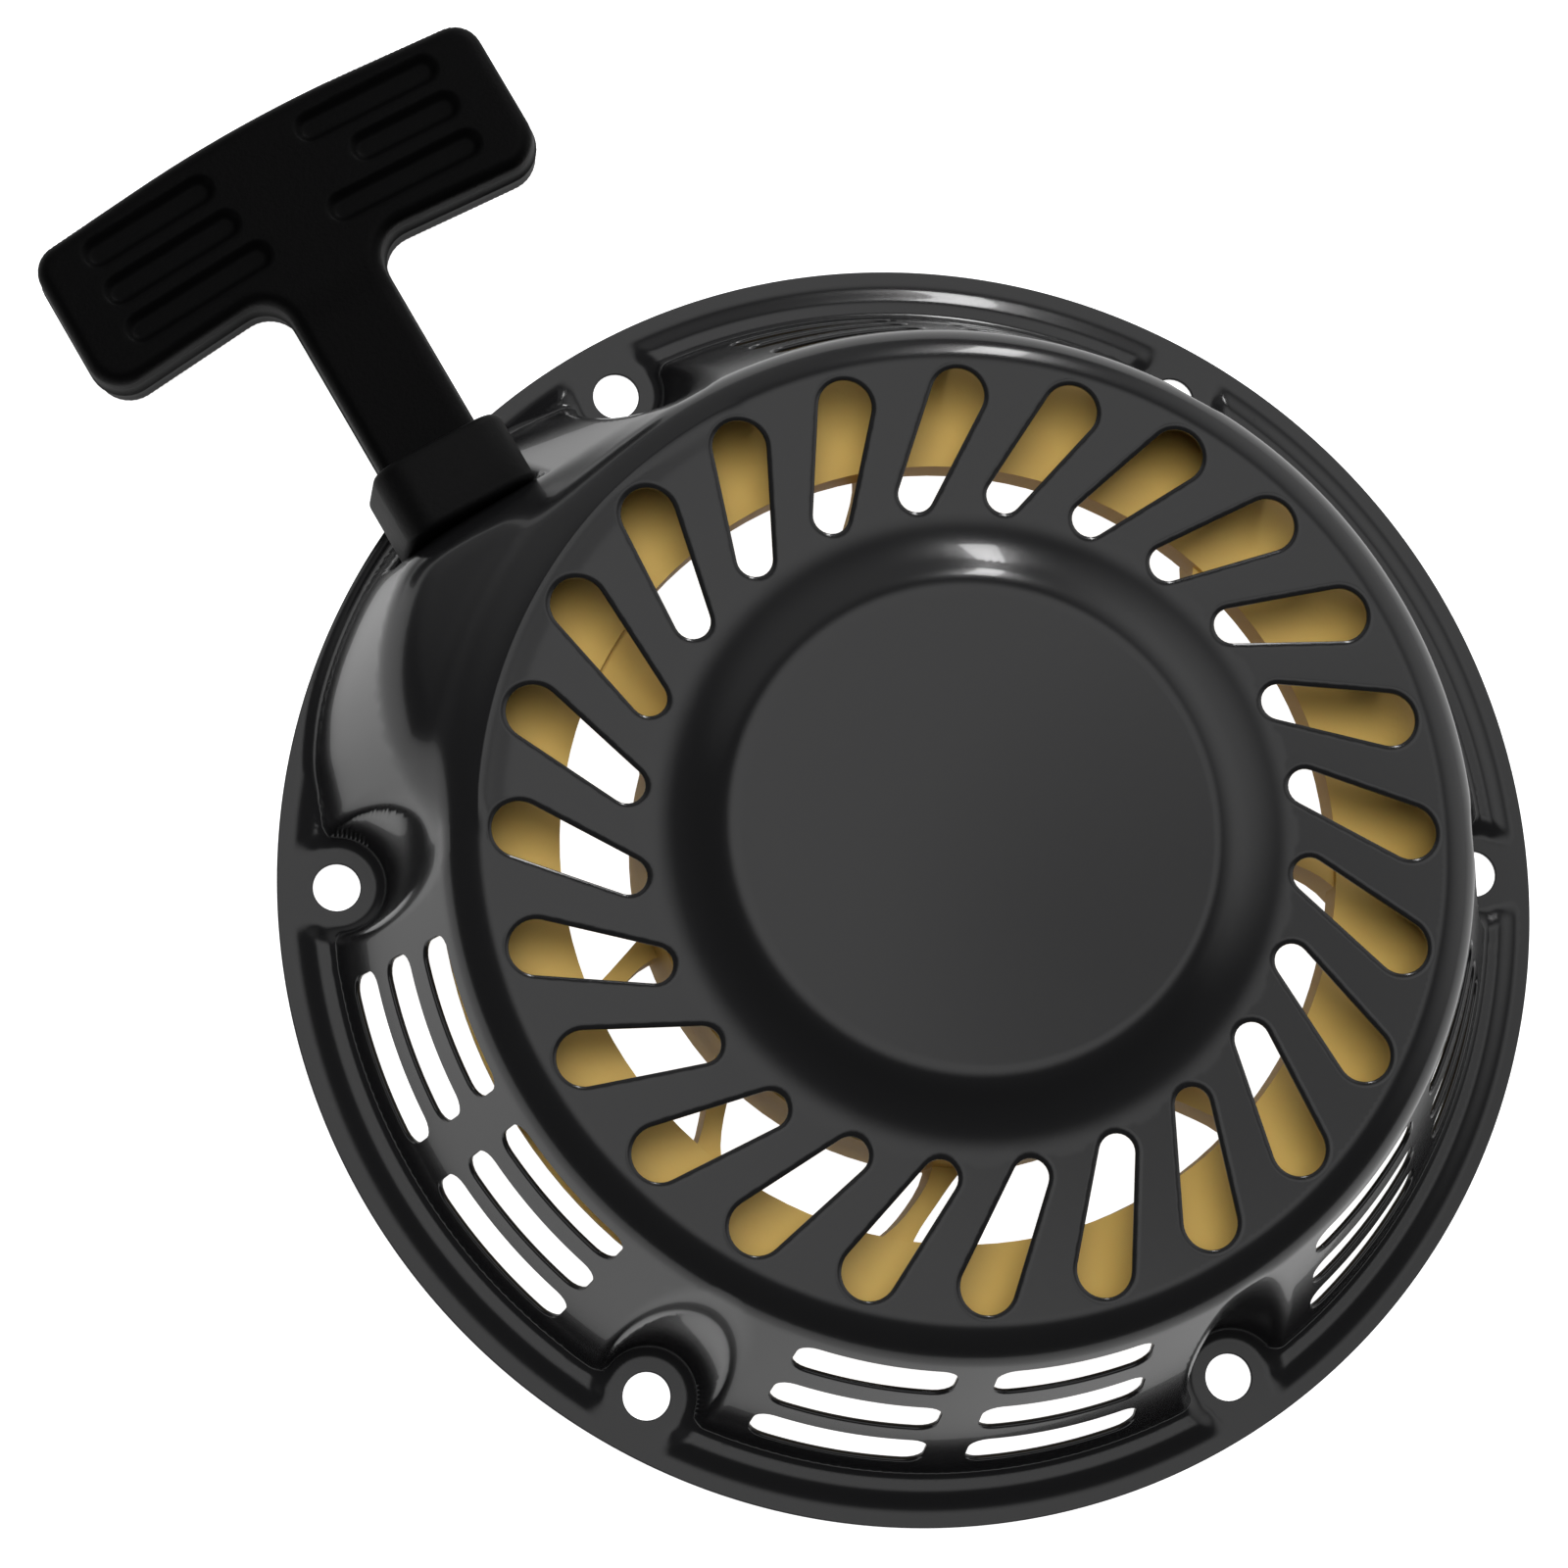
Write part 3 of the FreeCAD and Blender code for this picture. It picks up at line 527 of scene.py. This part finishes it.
def make_case():
    loops = [circle(FLANGE_R, 420)] + [turn(slot_loop(0), 15 * k) for k in range(24)]
    loops += [vent_loop(z, a, b, 0) for z, a, b in VENTS] + [circle(HOLE_R, 36, c) for c in HOLES]
    skins, base, faces, verts, norms = [], 0, [], [], []
    for side, step in ((0, 1.0), (1, 2.0)):
        flat, tri = triangulate(loops, case_points(step), in_sheet, unroll_wall)
        x, y = flat[:, 0], flat[:, 1]
        z = solve_height(case_field, x, y, 0.5, 58.0)
        n = field_normals(case_field, x, y, z)
        p = np.stack([x, y, z], 1)
        near = 1 - np.clip(slot_distance(flat), 0, ROLL_WIDTH) / ROLL_WIDTH
        roll = ROLL_DEPTH * near ** 2
        lean = ROLL_LEAN * near
        e = 0.05
        g = np.stack([slot_distance(flat + [e, 0]) - slot_distance(flat - [e, 0]),
                      slot_distance(flat + [0, e]) - slot_distance(flat - [0, e])], 1) / (2 * e)
        n_roll = n.copy()
        n_roll[:, :2] -= g * lean[:, None]
        n_roll /= np.linalg.norm(n_roll, axis=1, keepdims=True)
        p = p - n * roll[:, None]
        if side:
            p = p - n * SHEET
            n_roll = -n_roll
            tri = tri[:, ::-1]
        skins.append(p)
        faces.append(tri + base)
        verts.append(p)
        norms.append(n_roll)
        base += len(p)
    faces = [tuple(f) for f in np.concatenate(faces)]
    # rims of the cut edges, slightly rounded
    start = 0
    outer, inner = skins
    for loop in loops:
        n = len(loop)
        ids = np.arange(start, start + n)
        a, b = outer[ids], inner[ids]
        tan = np.roll(a, -1, 0) - np.roll(a, 1, 0)
        tan /= np.linalg.norm(tan, axis=1, keepdims=True)
        through = (a - b) / np.linalg.norm(a - b, axis=1, keepdims=True)
        out = np.cross(tan, through)
        if start and np.sum(out[:, :2] * (loop.mean(0) - loop)) < 0:
            out = -out
        if not start and np.sum(out[:, :2] * loop) < 0:
            out = -out
        rows = [ids]
        for f, push in ((0.12, 0.12), (0.5, 0.2), (0.88, 0.12)):
            rows.append(np.arange(base, base + n))
            verts.append(a + (b - a) * f + out * push)
            norms.append(out + through * (0.9 if f < 0.4 else -0.9 if f > 0.6 else 0))
            base += n
        rows.append(len(outer) + ids)
        flip = np.dot(np.cross(a[1] - a[0], b[0] - a[0]), out[0]) < 0
        for r0, r1 in zip(rows[:-1], rows[1:]):
            for k in range(n):
                m = (k + 1) % n
                q = (r0[k], r0[m], r1[m], r1[k])
                faces.append(q[::-1] if flip else q)
        start += n
    norms = np.concatenate(norms)
    norms /= np.linalg.norm(norms, axis=1, keepdims=True)
    return mesh_piece("pressed_case", np.concatenate(verts), faces, norms)


# ---- grip ---------------------------------------------------------------------------------
GRIP_ROUND = 2.3
GROOVES = ((7.5, 34.0, 159.2, -2.5), (14.0, 34.0, 151.8, -2.5), (5.5, 34.0, 144.4, -2.5),
           (-34.0, -9.0, 159.0, 2.5), (-34.0, -8.0, 151.6, 2.5), (-34.0, -6.0, 144.2, 2.5))


def grip_outline(inset=0.0):
    """T outline, counter-clockwise, moved in by inset."""
    h, w, y0, y1, s = GRIP_L / 2 - inset, STEM_W / 2 - inset, GRIP_Y0, GRIP_Y1, inset
    right = [(w, STEM_Y0 + s, max(3.0 - s, 0.3)), (w, y0 + 0.4 + s, 6.0 + s),
             (h, y0 - 2.2 + s, max(6.0 - s, 0.5)), (h, y1 - 2.6 - s, max(5.0 - s, 0.5))]
    left = [(-x, y, r) for x, y, r in right[::-1]]
    loop = rounded_loop(right + [(0, y1 + 1.1 - s, 400.0)] + left, 12)
    return resample(loop, 300)


def resample(loop, n):
    closed = np.concatenate([loop, loop[:1]])
    seg = np.linalg.norm(np.diff(closed, axis=0), axis=1)
    t = np.concatenate([[0], np.cumsum(seg)])
    u = np.linspace(0, t[-1], n, endpoint=False)
    return np.stack([np.interp(u, t, closed[:, i]) for i in (0, 1)], 1)


def groove_distance(p):
    best = np.full(len(p), 99.0)
    for x0, x1, y, tilt in GROOVES:
        c, s = math.cos(math.radians(tilt)), math.sin(math.radians(tilt))
        q = (p - [(x0 + x1) / 2, y]) @ np.array([[c, -s], [s, c]])
        half = (x1 - x0) / 2 - 2.6
        best = np.minimum(best, np.hypot(np.maximum(np.abs(q[:, 0]) - half, 0), q[:, 1]) - 2.6)
    return best


def groove_loop(g, off, n=10, nl=18):
    x0, x1, y, tilt = g
    r, half = 2.6 + off, (x1 - x0) / 2 - 2.6
    if r <= 0.15:
        return np.zeros((0, 2))
    t = np.linspace(-math.pi / 2, math.pi / 2, n)
    end = np.stack([half + r * np.cos(t), r * np.sin(t)], 1)
    top = np.array([half, r]) - np.array([2 * half, 0]) * np.linspace(0, 1, nl + 2)[1:-1, None]
    q = np.concatenate([end, top, -end, -top])
    c, s = math.cos(math.radians(tilt)), math.sin(math.radians(tilt))
    return q @ np.array([[c, s], [-s, c]]) + [(x0 + x1) / 2, y]


def soft_step(x, a, b):
    t = np.clip((x - a) / (b - a), 0, 1)
    return t * t * (3 - 2 * t)


def make_grip():
    rim = grip_outline()
    steps = GRIP_ROUND * (1 - np.cos(np.linspace(0, math.pi / 2, 8)))
    rings = [grip_outline(s) for s in steps[1:]] + [grip_outline(GRIP_ROUND + 0.6)]
    gx, gy = np.meshgrid(np.arange(-42, 42.1, 1.3), np.arange(94.5, 166, 1.3))
    grid = np.stack([gx.ravel() + 0.3 * (np.arange(gx.size) % 2), gy.ravel()], 1)
    deep = ring_inside(grid, grip_outline(GRIP_ROUND + 1.2))
    grid = grid[deep & (groove_distance(grid) > 1.2)]
    offsets = (-2.2, -1.6, -1.2, -0.9, -0.6, -0.3, 0, 0.25, 0.6)
    marks = [groove_loop(g, o) for g in GROOVES for o in offsets]
    pts = np.concatenate(rings + [grid] + marks)
    depths = list(steps[1:]) + [GRIP_ROUND + 0.6]
    depth_of = [np.zeros(len(rim))] + [np.full(len(r), s) for r, s in zip(rings, depths)]
    depth_of = np.concatenate(depth_of + [np.full(len(grid) + sum(map(len, marks)), 9.0)])
    flat, tri = triangulate([rim], pts, lambda c: ring_inside(c, rim))
    half = STEM_T / 2 + (GRIP_T - STEM_T) / 2 * soft_step(flat[:, 1], 127.0, 137.0)
    inset = np.minimum(depth_of, GRIP_ROUND)
    z = half - GRIP_ROUND + np.sqrt(np.maximum(GRIP_ROUND ** 2 - (GRIP_ROUND - inset) ** 2, 0))
    z = z - 1.35 * (1 - soft_step(groove_distance(flat), -1.3, 0.35))
    front = np.stack([flat[:, 0], flat[:, 1], z], 1)
    back = front * [1, 1, -1]
    n, m = len(front), len(rim)
    faces = [tuple(t) for t in tri] + [tuple(t[::-1] + n) for t in tri]
    verts = [front, back]
    rows = [np.arange(m)]
    base = 2 * n
    edge_half = front[:m, 2]
    away = rim - np.roll(rim, -1, 0)
    out = np.stack([-away[:, 1], away[:, 0]], 1)
    out /= np.linalg.norm(out, axis=1, keepdims=True)
    for f, push in ((0.6, 0.12), (0.1, 0.22), (0.03, 0.42), (-0.03, 0.42), (-0.1, 0.22), (-0.6, 0.12)):
        rows.append(np.arange(base, base + m))
        verts.append(np.column_stack([rim + out * push, edge_half * f]))
        base += m
    rows.append(np.arange(n, n + m))
    for r0, r1 in zip(rows[:-1], rows[1:]):
        for k in range(m):
            j = (k + 1) % m
            faces.append((r0[j], r0[k], r1[k], r1[j]))
    ob = mesh_piece("pull_grip_moulding", np.concatenate(verts), faces)
    clean(ob)
    hang = Matrix.Rotation(math.radians(GRIP_ROLL), 4, "Y")
    return place(ob, Matrix.Translation((PULL_X * MM, 0, PULL_Z * MM)) @ hang)


def ring_inside(p, ring):
    """Points inside a closed 2-D ring."""
    inside = np.zeros(len(p), bool)
    a, b = ring, np.roll(ring, -1, 0)
    for (x0, y0), (x1, y1) in zip(a, b):
        if y0 == y1:
            continue
        hit = ((y0 > p[:, 1]) != (y1 > p[:, 1]))
        inside ^= hit & (p[:, 0] < (x1 - x0) * (p[:, 1] - y0) / (y1 - y0) + x0)
    return inside


# ---- guide cup ------------------------------------------------------------------------------
def box_ring(w, d, r, y, arc=8):
    """Rounded rectangle about the line of pull, at height y above the seat."""
    h, v = w / 2, d / 2
    loop = rounded_loop([(h, -v, r), (h, v, r), (-h, v, r), (-h, -v, r)], arc)
    return np.stack([loop[:, 0] + PULL_X, np.full(len(loop), SEAT_Y + y), -loop[:, 1] + PULL_Z], 1)


def make_guide():
    w, d, r = GUIDE_W, GUIDE_D, 5.5
    rings = [box_ring(4.2 * 2, 4.2 * 2, 4.19, 0.0)]
    for inset, y in ((1.4, 0.0), (0.5, 0.15), (0.1, 0.6), (0.0, 1.2), (0.0, 6.0), (0.0, 11.6)):
        rings.append(box_ring(w - 2 * inset, d - 2 * inset, r - inset, y))
    for k in range(1, 6):
        a = k / 5 * math.pi / 2
        i = 1.4 * (1 - math.cos(a))
        rings.append(box_ring(w - 2 * i, d - 2 * i, r - i, 11.8 + 1.4 * math.sin(a)))
    well = ((0.45, 13.2), (0.18, 13.1), (0.0, 12.7), (0.0, 9.0), (-0.1, 5.4), (-0.4, 4.8), (-1.0, 4.6))
    for o, y in well:
        rings.append(box_ring(21.0 + 2 * o, 17.4 + 2 * o, 4.2 + o, y))
    rings.append(box_ring(8.6, 8.6, 4.29, 4.6))
    rings.append(box_ring(8.4, 8.4, 4.19, 4.3))
    rings.append(rings[0])
    return loft("guide_cup", rings)


# ---- rope -------------------------------------------------------------------------------------
def tube_frames(path):
    """Side and up for each point, without twist."""
    t = np.gradient(path, axis=0)
    t /= np.linalg.norm(t, axis=1, keepdims=True)
    side = np.cross(t[0], [0.0, 0.31, 0.95])
    out = []
    for k in range(len(path)):
        side = side - t[k] * (side @ t[k])
        side /= np.linalg.norm(side)
        out.append((side.copy(), np.cross(t[k], side)))
    return out


def along(path, step):
    seg = np.concatenate([[0], np.cumsum(np.linalg.norm(np.diff(path, axis=0), axis=1))])
    n = max(4, int(seg[-1] / step))
    u = np.linspace(0, seg[-1], n + 1)
    return np.stack([np.interp(u, seg, path[:, i]) for i in range(3)], 1), u


def rope_piece(name, path, step=0.9, around=20, radius=ROPE_R):
    """Braided cord along a path: diamonds stand a little proud, ends are rounded."""
    pts, u = along(np.asarray(path, float), step)
    frames = tube_frames(pts)
    col = np.arange(around) / around
    verts, rows = [], len(pts)
    ends = np.minimum(u, u[-1] - u)
    for k in range(rows):
        side, up = frames[k]
        cap = math.sqrt(max(0.0, 1 - max(0.0, 1 - ends[k] / (0.55 * radius)) ** 2))
        wave = np.sin((u[k] * 0.82 + col * 8) * math.pi) * np.sin((u[k] * 0.82 - col * 8) * math.pi)
        r = radius * (0.955 + 0.045 * wave) * max(cap, 0.25)
        a = col * 2 * math.pi
        verts.append(pts[k] + r[:, None] * (np.cos(a)[:, None] * side + np.sin(a)[:, None] * up))
    verts = np.concatenate(verts)
    faces, uvs = [], []
    for k in range(rows - 1):
        for c in range(around):
            d = (c + 1) % around
            low, high = k * around, (k + 1) * around
            faces.append((low + c, low + d, high + d, high + c))
            uvs += [(u[k] * MM, c / around), (u[k] * MM, (c + 1) / around),
                    (u[k + 1] * MM, (c + 1) / around), (u[k + 1] * MM, c / around)]
    n = len(verts)
    verts = np.concatenate([verts, pts[:1], pts[-1:]])
    for c in range(around):
        d = (c + 1) % around
        faces.append((d, c, n))
        faces.append(((rows - 1) * around + c, (rows - 1) * around + d, n + 1))
        uvs += [(0, c / around)] * 3 + [(u[-1] * MM, c / around)] * 3
    ob = mesh_piece(name, verts, faces)
    layer = ob.data.uv_layers.new(name="UVMap")
    layer.data.foreach_set("uv", np.asarray(uvs, dtype=np.float32).ravel())
    return finish(ob, ROPE)


def arc_path(r, z, a0, a1, step=2.0):
    n = int(abs(a1 - a0) / step) + 2
    t = np.radians(np.linspace(a0, a1, n))
    return np.stack([r * np.cos(t), r * np.sin(t), np.full(n, float(z))], 1)


# turns of rope on the reel: radius, height, first and last angle
COIL_IN = (72.6, 26.9, KNOT_ANG, 465)
COIL_MID = (77.7, 28.6, KNOT_ANG, 465)
COIL_OUT = (82.8, 27.3, 143.5, 478)


def coil_path():
    """Three turns wound one over the other in the drum's groove."""
    return [arc_path(*COIL_IN), arc_path(*COIL_MID), arc_path(*COIL_OUT)]


def knot_path(size):
    """Overhand knot about its own z axis."""
    t = np.linspace(0, 2 * math.pi, 120, endpoint=False)
    return size * np.stack([np.sin(t) + 2 * np.sin(2 * t), np.cos(t) - 2 * np.cos(2 * t),
                            -1.25 * np.sin(3 * t)], 1)


def lead_path():
    """From the coil's tangent point round the guide's throat to the knot in the grip."""
    r, z = COIL_OUT[:2]
    corner = np.array([PULL_X, SEAT_Y - 9.5, PULL_Z])
    d = math.hypot(corner[0], corner[1])
    a = math.atan2(corner[1], corner[0]) + math.acos(r / d)
    start = np.array([r * math.cos(a), r * math.sin(a), z])
    leg = (corner - start) / np.linalg.norm(corner - start)
    p1, p2 = corner - leg * 4, corner + [0, 4, 0]
    t = np.linspace(0, 1, 12)[:, None]
    bend = p1 * (1 - t) ** 2 + 2 * corner * t * (1 - t) + p2 * t ** 2
    return np.concatenate([[start], bend, [[PULL_X, GRIP_Y0 + 5.0, PULL_Z]]])


# ---- wound springs, by geometry nodes ------------------------------------------------------------
def node_tree(name, inputs):
    tree = bpy.data.node_groups.new(name, "GeometryNodeTree")
    tree.interface.new_socket("Geometry", in_out="OUTPUT", socket_type="NodeSocketGeometry")
    for label, kind, value in inputs:
        s = tree.interface.new_socket(label, in_out="INPUT", socket_type=kind)
        if value is not None:
            s.default_value = value
    return tree, tree.nodes.new("NodeGroupInput"), tree.nodes.new("NodeGroupOutput")


def add_node(tree, kind, settings=None, **inputs):
    n = tree.nodes.new(kind)
    for k, v in (settings or {}).items():
        setattr(n, k, v)
    for k, v in inputs.items():
        sock = n.inputs[k.replace("_", " ")]
        if isinstance(v, bpy.types.NodeSocket):
            tree.links.new(v, sock)
        else:
            sock.default_value = v
    return n


def wound_strip_tree():
    """Strip or wire wound on a flat or rising spiral."""
    F, I = "NodeSocketFloat", "NodeSocketInt"
    tree, gin, gout = node_tree("wound_strip", [
        ("Turns", F, 9.0), ("Points", I, 60), ("Start radius", F, 0.0144), ("End radius", F, 0.048),
        ("Rise", F, 0.0), ("Strip width", F, 0.0102), ("Strip gauge", F, 0.0009), ("Corner", F, 0.0002),
        ("Metal", "NodeSocketMaterial", None)])
    spiral = add_node(tree, "GeometryNodeCurveSpiral", Resolution=gin.outputs["Points"],
                      Rotations=gin.outputs["Turns"], Start_Radius=gin.outputs["Start radius"],
                      End_Radius=gin.outputs["End radius"], Height=gin.outputs["Rise"])
    up = add_node(tree, "GeometryNodeSetCurveNormal", {"mode": "Z_UP"}, Curve=spiral.outputs[0])
    strip = add_node(tree, "GeometryNodeCurvePrimitiveQuadrilateral", Width=gin.outputs["Strip gauge"],
                     Height=gin.outputs["Strip width"])
    soft = add_node(tree, "GeometryNodeFilletCurve", {"mode": "POLY"}, Curve=strip.outputs[0],
                    Radius=gin.outputs["Corner"])
    body = add_node(tree, "GeometryNodeCurveToMesh", Curve=up.outputs[0], Profile_Curve=soft.outputs[0],
                    Fill_Caps=True)
    smooth = add_node(tree, "GeometryNodeSetShadeSmooth", Geometry=body.outputs[0], Shade_Smooth=True)
    real = add_node(tree, "GeometryNodeRealizeInstances", Geometry=smooth.outputs[0])
    paint = add_node(tree, "GeometryNodeSetMaterial", Geometry=real.outputs[0],
                     Material=gin.outputs["Metal"])
    tree.links.new(paint.outputs[0], gout.inputs[0])
    return tree


def grown(name, tree, values):
    """Plain mesh made by a geometry node tree with these inputs."""
    me = bpy.data.meshes.new(name + "_seed")
    ob = bpy.data.objects.new(name, me)
    bpy.context.scene.collection.objects.link(ob)
    mod = ob.modifiers.new("wind", "NODES")
    mod.node_group = tree
    ident = {i.name: i.identifier for i in tree.interface.items_tree if i.in_out == "INPUT"}
    for label, value in values.items():
        mod[ident[label]] = value
    deps = bpy.context.evaluated_depsgraph_get()
    new = bpy.data.meshes.new_from_object(ob.evaluated_get(deps))
    ob.modifiers.clear()
    ob.data = new
    new.name = name
    bpy.data.meshes.remove(me)
    return ob


# ---- CAD nodes with broken edges -------------------------------------------------------------------
def dressed(node, mat, edge, angle=32):
    """Copy of a CAD node with merged faces and a small edge radius, standing for that node."""
    src = frame["nodes"][node]
    me = src.data.copy()
    me.name = node + "_finished"
    bm = bmesh.new()
    bm.from_mesh(me)
    bmesh.ops.remove_doubles(bm, verts=bm.verts, dist=2e-6)
    bmesh.ops.dissolve_limit(bm, angle_limit=math.radians(0.8), verts=bm.verts, edges=bm.edges)
    bm.to_mesh(me)
    bm.free()
    me.materials.clear()
    ob = bpy.data.objects.new(node + "_finished", me)
    bpy.context.scene.collection.objects.link(ob)
    me.polygons.foreach_set("use_smooth", [True] * len(me.polygons))
    me.set_sharp_from_angle(angle=math.radians(angle))
    if edge:
        bev = ob.modifiers.new("edge", "BEVEL")
        bev.width, bev.segments, bev.limit_method = edge * MM, 2, "ANGLE"
        bev.angle_limit, bev.use_clamp_overlap, bev.harden_normals = math.radians(angle), True, True
        deps = bpy.context.evaluated_depsgraph_get()
        new = bpy.data.meshes.new_from_object(ob.evaluated_get(deps))
        ob.modifiers.clear()
        ob.data = new
        bpy.data.meshes.remove(me)
    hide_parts(node)
    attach(ob, node_body[node])
    return finish(ob, mat)


node_body = {n: body for body, nodes in frame["record"]["behaviour"]["bodies"].items() for n in nodes}


def shown(ob, body, *nodes, slot=None):
    if nodes:
        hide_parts(*nodes)
    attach(ob, body)
    return ob


# ---- build --------------------------------------------------------------------------------------------
scene = bpy.context.scene
scene.view_settings.view_transform = "Standard"
cam_data = bpy.data.cameras.new("camera")
cam_data.sensor_width, cam_data.lens = 36.0, 89.561
cam_data.clip_start, cam_data.clip_end = 0.01, 20.0
camera = bpy.data.objects.new("camera", cam_data)
camera.location = (-0.16737, -0.03686, 0.66428)
camera.rotation_euler = tuple(math.radians(a) for a in (11.2636, -8.6793, -30.6824))
scene.collection.objects.link(camera)
scene.camera = camera

case = finish(make_case(), PAINT)
shown(case, "case", "starter_case", slot="case_paint")
shown(finish(make_guide(), GUIDE_PLASTIC), "case", "rope_guide", slot="black_plastic")
shown(finish(make_grip(), GRIP_PLASTIC), "grip", "pull_grip", slot="grip_plastic")

lead = rope_piece("rope_lead_braid", lead_path(), step=0.8)
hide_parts("rope_lead")
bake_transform(lead)
turns = [rope_piece("rope_turn_%d" % i, p, step=1.2, around=16) for i, p in enumerate(coil_path())]
for i, t in enumerate(turns):
    if i == 0:
        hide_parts("rope_coil")
    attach(t, "reel")


def knot_piece(name, body, node, at, axis, size=1.15, radius=2.15):
    path = knot_path(size)
    path = np.concatenate([path, path[:6]])
    ob = rope_piece(name, path, step=0.7, around=16, radius=radius)
    m = Vector(axis).to_track_quat("Z", "Y").to_matrix().to_4x4()
    place(ob, Matrix.Translation(Vector(at) * MM) @ m)
    return shown(ob, body, node, slot="rope")


c, s = math.cos(math.radians(KNOT_ANG)), math.sin(math.radians(KNOT_ANG))
knot_piece("reel_end_knot", "reel", "reel_knot", (60.0 * c, 60.0 * s, 25.4), (c, s, 0), 0.95, 1.8)
knot_piece("grip_end_knot", "grip", "grip_knot", (PULL_X, 148.4, PULL_Z), (0, 1, 0))

strip_tree = wound_strip_tree()
lo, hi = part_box("recoil_spring")
spring = grown("recoil_spring_strip", strip_tree, {
    "Turns": 9.0, "Points": 44, "Start radius": 0.0144, "End radius": 0.0478, "Rise": 0.0,
    "Strip width": 0.0102, "Strip gauge": 0.0008, "Corner": 0.0002, "Metal": SPRING_STEEL})
spring.data.transform(Matrix.Translation((0, 0, (lo[2] + hi[2]) / 2)))
shown(spring, "reel", "recoil_spring", slot="spring_steel")

FINISHES = {"case_paint": PAINT, "plated_steel": ZINC, "zinc_yellow": YELLOW_ZINC,
            "spring_steel": SPRING_STEEL, "ratchet_steel": RATCHET_STEEL, "reel_nylon": NYLON,
            "black_plastic": CAM_PLASTIC}
EDGES = {"reinforcing_plate": 0.25, "centre_post": 0.25, "spring_arbor": 0.2, "setting_screw": 0.25,
         "screw_washer": 0.2, "guide_ferrule": 0.12, "rope_reel": 0.35, "spring_cover": 0.25,
         "ratchet_a": 0.3, "ratchet_b": 0.3, "ratchet_guide": 0.35, "friction_spring": 0.0,
         "grip_washer": 0.15, "ratchet_spring_a": 0.0, "ratchet_spring_b": 0.0}
slot_of = {p["node"]: p["material_slot"] for p in frame["record"]["subparts"]}
for node, edge in EDGES.items():
    ob = dressed(node, FINISHES[slot_of[node]], edge)

# ---- stage ---------------------------------------------------------------------------------------------
floor_me = bpy.data.meshes.new("floor")
corners = [(x, y, -0.0008) for x, y in ((-3, -3), (3, -3), (3, 3), (-3, 3))]
floor_me.from_pydata(corners, [], [(0, 1, 2, 3)])
floor = bpy.data.objects.new("floor", floor_me)
scene.collection.objects.link(floor)
table = Finish("pale_table", Base_Color=(0.6, 0.6, 0.6, 1), Roughness=0.8,
               Specular_IOR_Level=0.0, Emission_Color=(1, 1, 1, 1))
seen = table.out(table.node("ShaderNodeLightPath"), "Is Camera Ray")
table.feed(Emission_Strength=seen * 0.8 + 0.2)
floor_me.materials.append(table.mat)

world = bpy.data.worlds.new("studio")
scene.world = world
world.use_nodes = True
wt = world.node_tree
direction = wt.nodes.new("ShaderNodeTexCoord")
split = wt.nodes.new("ShaderNodeSeparateXYZ")
wt.links.new(direction.outputs["Generated"], split.inputs[0])


def glow(axis, inner, outer, strength):
    """Soft round patch of light about a direction, full inside inner degrees, gone at outer."""
    x, y, z = (S(wt, split.outputs[i]) * part for i, part in enumerate(Vector(axis).normalized()))
    dot = x + y + z
    fade = wt.nodes.new("ShaderNodeMapRange")
    fade.interpolation_type = "SMOOTHSTEP"
    wt.links.new(dot.sock, fade.inputs["Value"])
    fade.inputs["From Min"].default_value = math.cos(math.radians(outer))
    fade.inputs["From Max"].default_value = math.cos(math.radians(inner))
    fade.inputs["To Min"].default_value = 0.0
    fade.inputs["To Max"].default_value = strength
    return S(wt, fade.outputs[0])


backdrop = wt.nodes["Background"]
backdrop.inputs[0].default_value = (1, 1, 1, 1)
sky = glow((0.20, 0.08, 0.96), 12, 30, 0.84)
sky = sky + glow((1.0, -0.05, 0.25), 14, 46, 0.62)
sky = sky + glow((0.1, 0.95, 0.35), 12, 40, 0.24)
sky = sky - glow((0.30, -0.01, 0.955), 0.5, 6.0, 0.52)    # a dark card
path = wt.nodes.new("ShaderNodeLightPath")
backdrop_seen = S(wt, path.outputs["Is Camera Ray"]) * 0.9
wt.links.new(((sky + 0.05).most(0.02) + backdrop_seen).sock, backdrop.inputs[1])


def softbox(name, at, size, watts, glossy=True):
    d = bpy.data.lights.new(name, "AREA")
    d.shape, d.size, d.size_y, d.energy = "RECTANGLE", size[0], size[1], watts
    ob = bpy.data.objects.new(name, d)
    ob.location = at
    ob.visible_glossy = glossy
    ob.rotation_euler = (-Vector(at)).to_track_quat("-Z", "Y").to_euler()
    scene.collection.objects.link(ob)


softbox("overhead", (-0.1, 0.3, 1.6), (1.0, 0.9), 20, glossy=False)
softbox("edge_light", (0.9, 0.9, 0.7), (0.12, 0.5), 3)
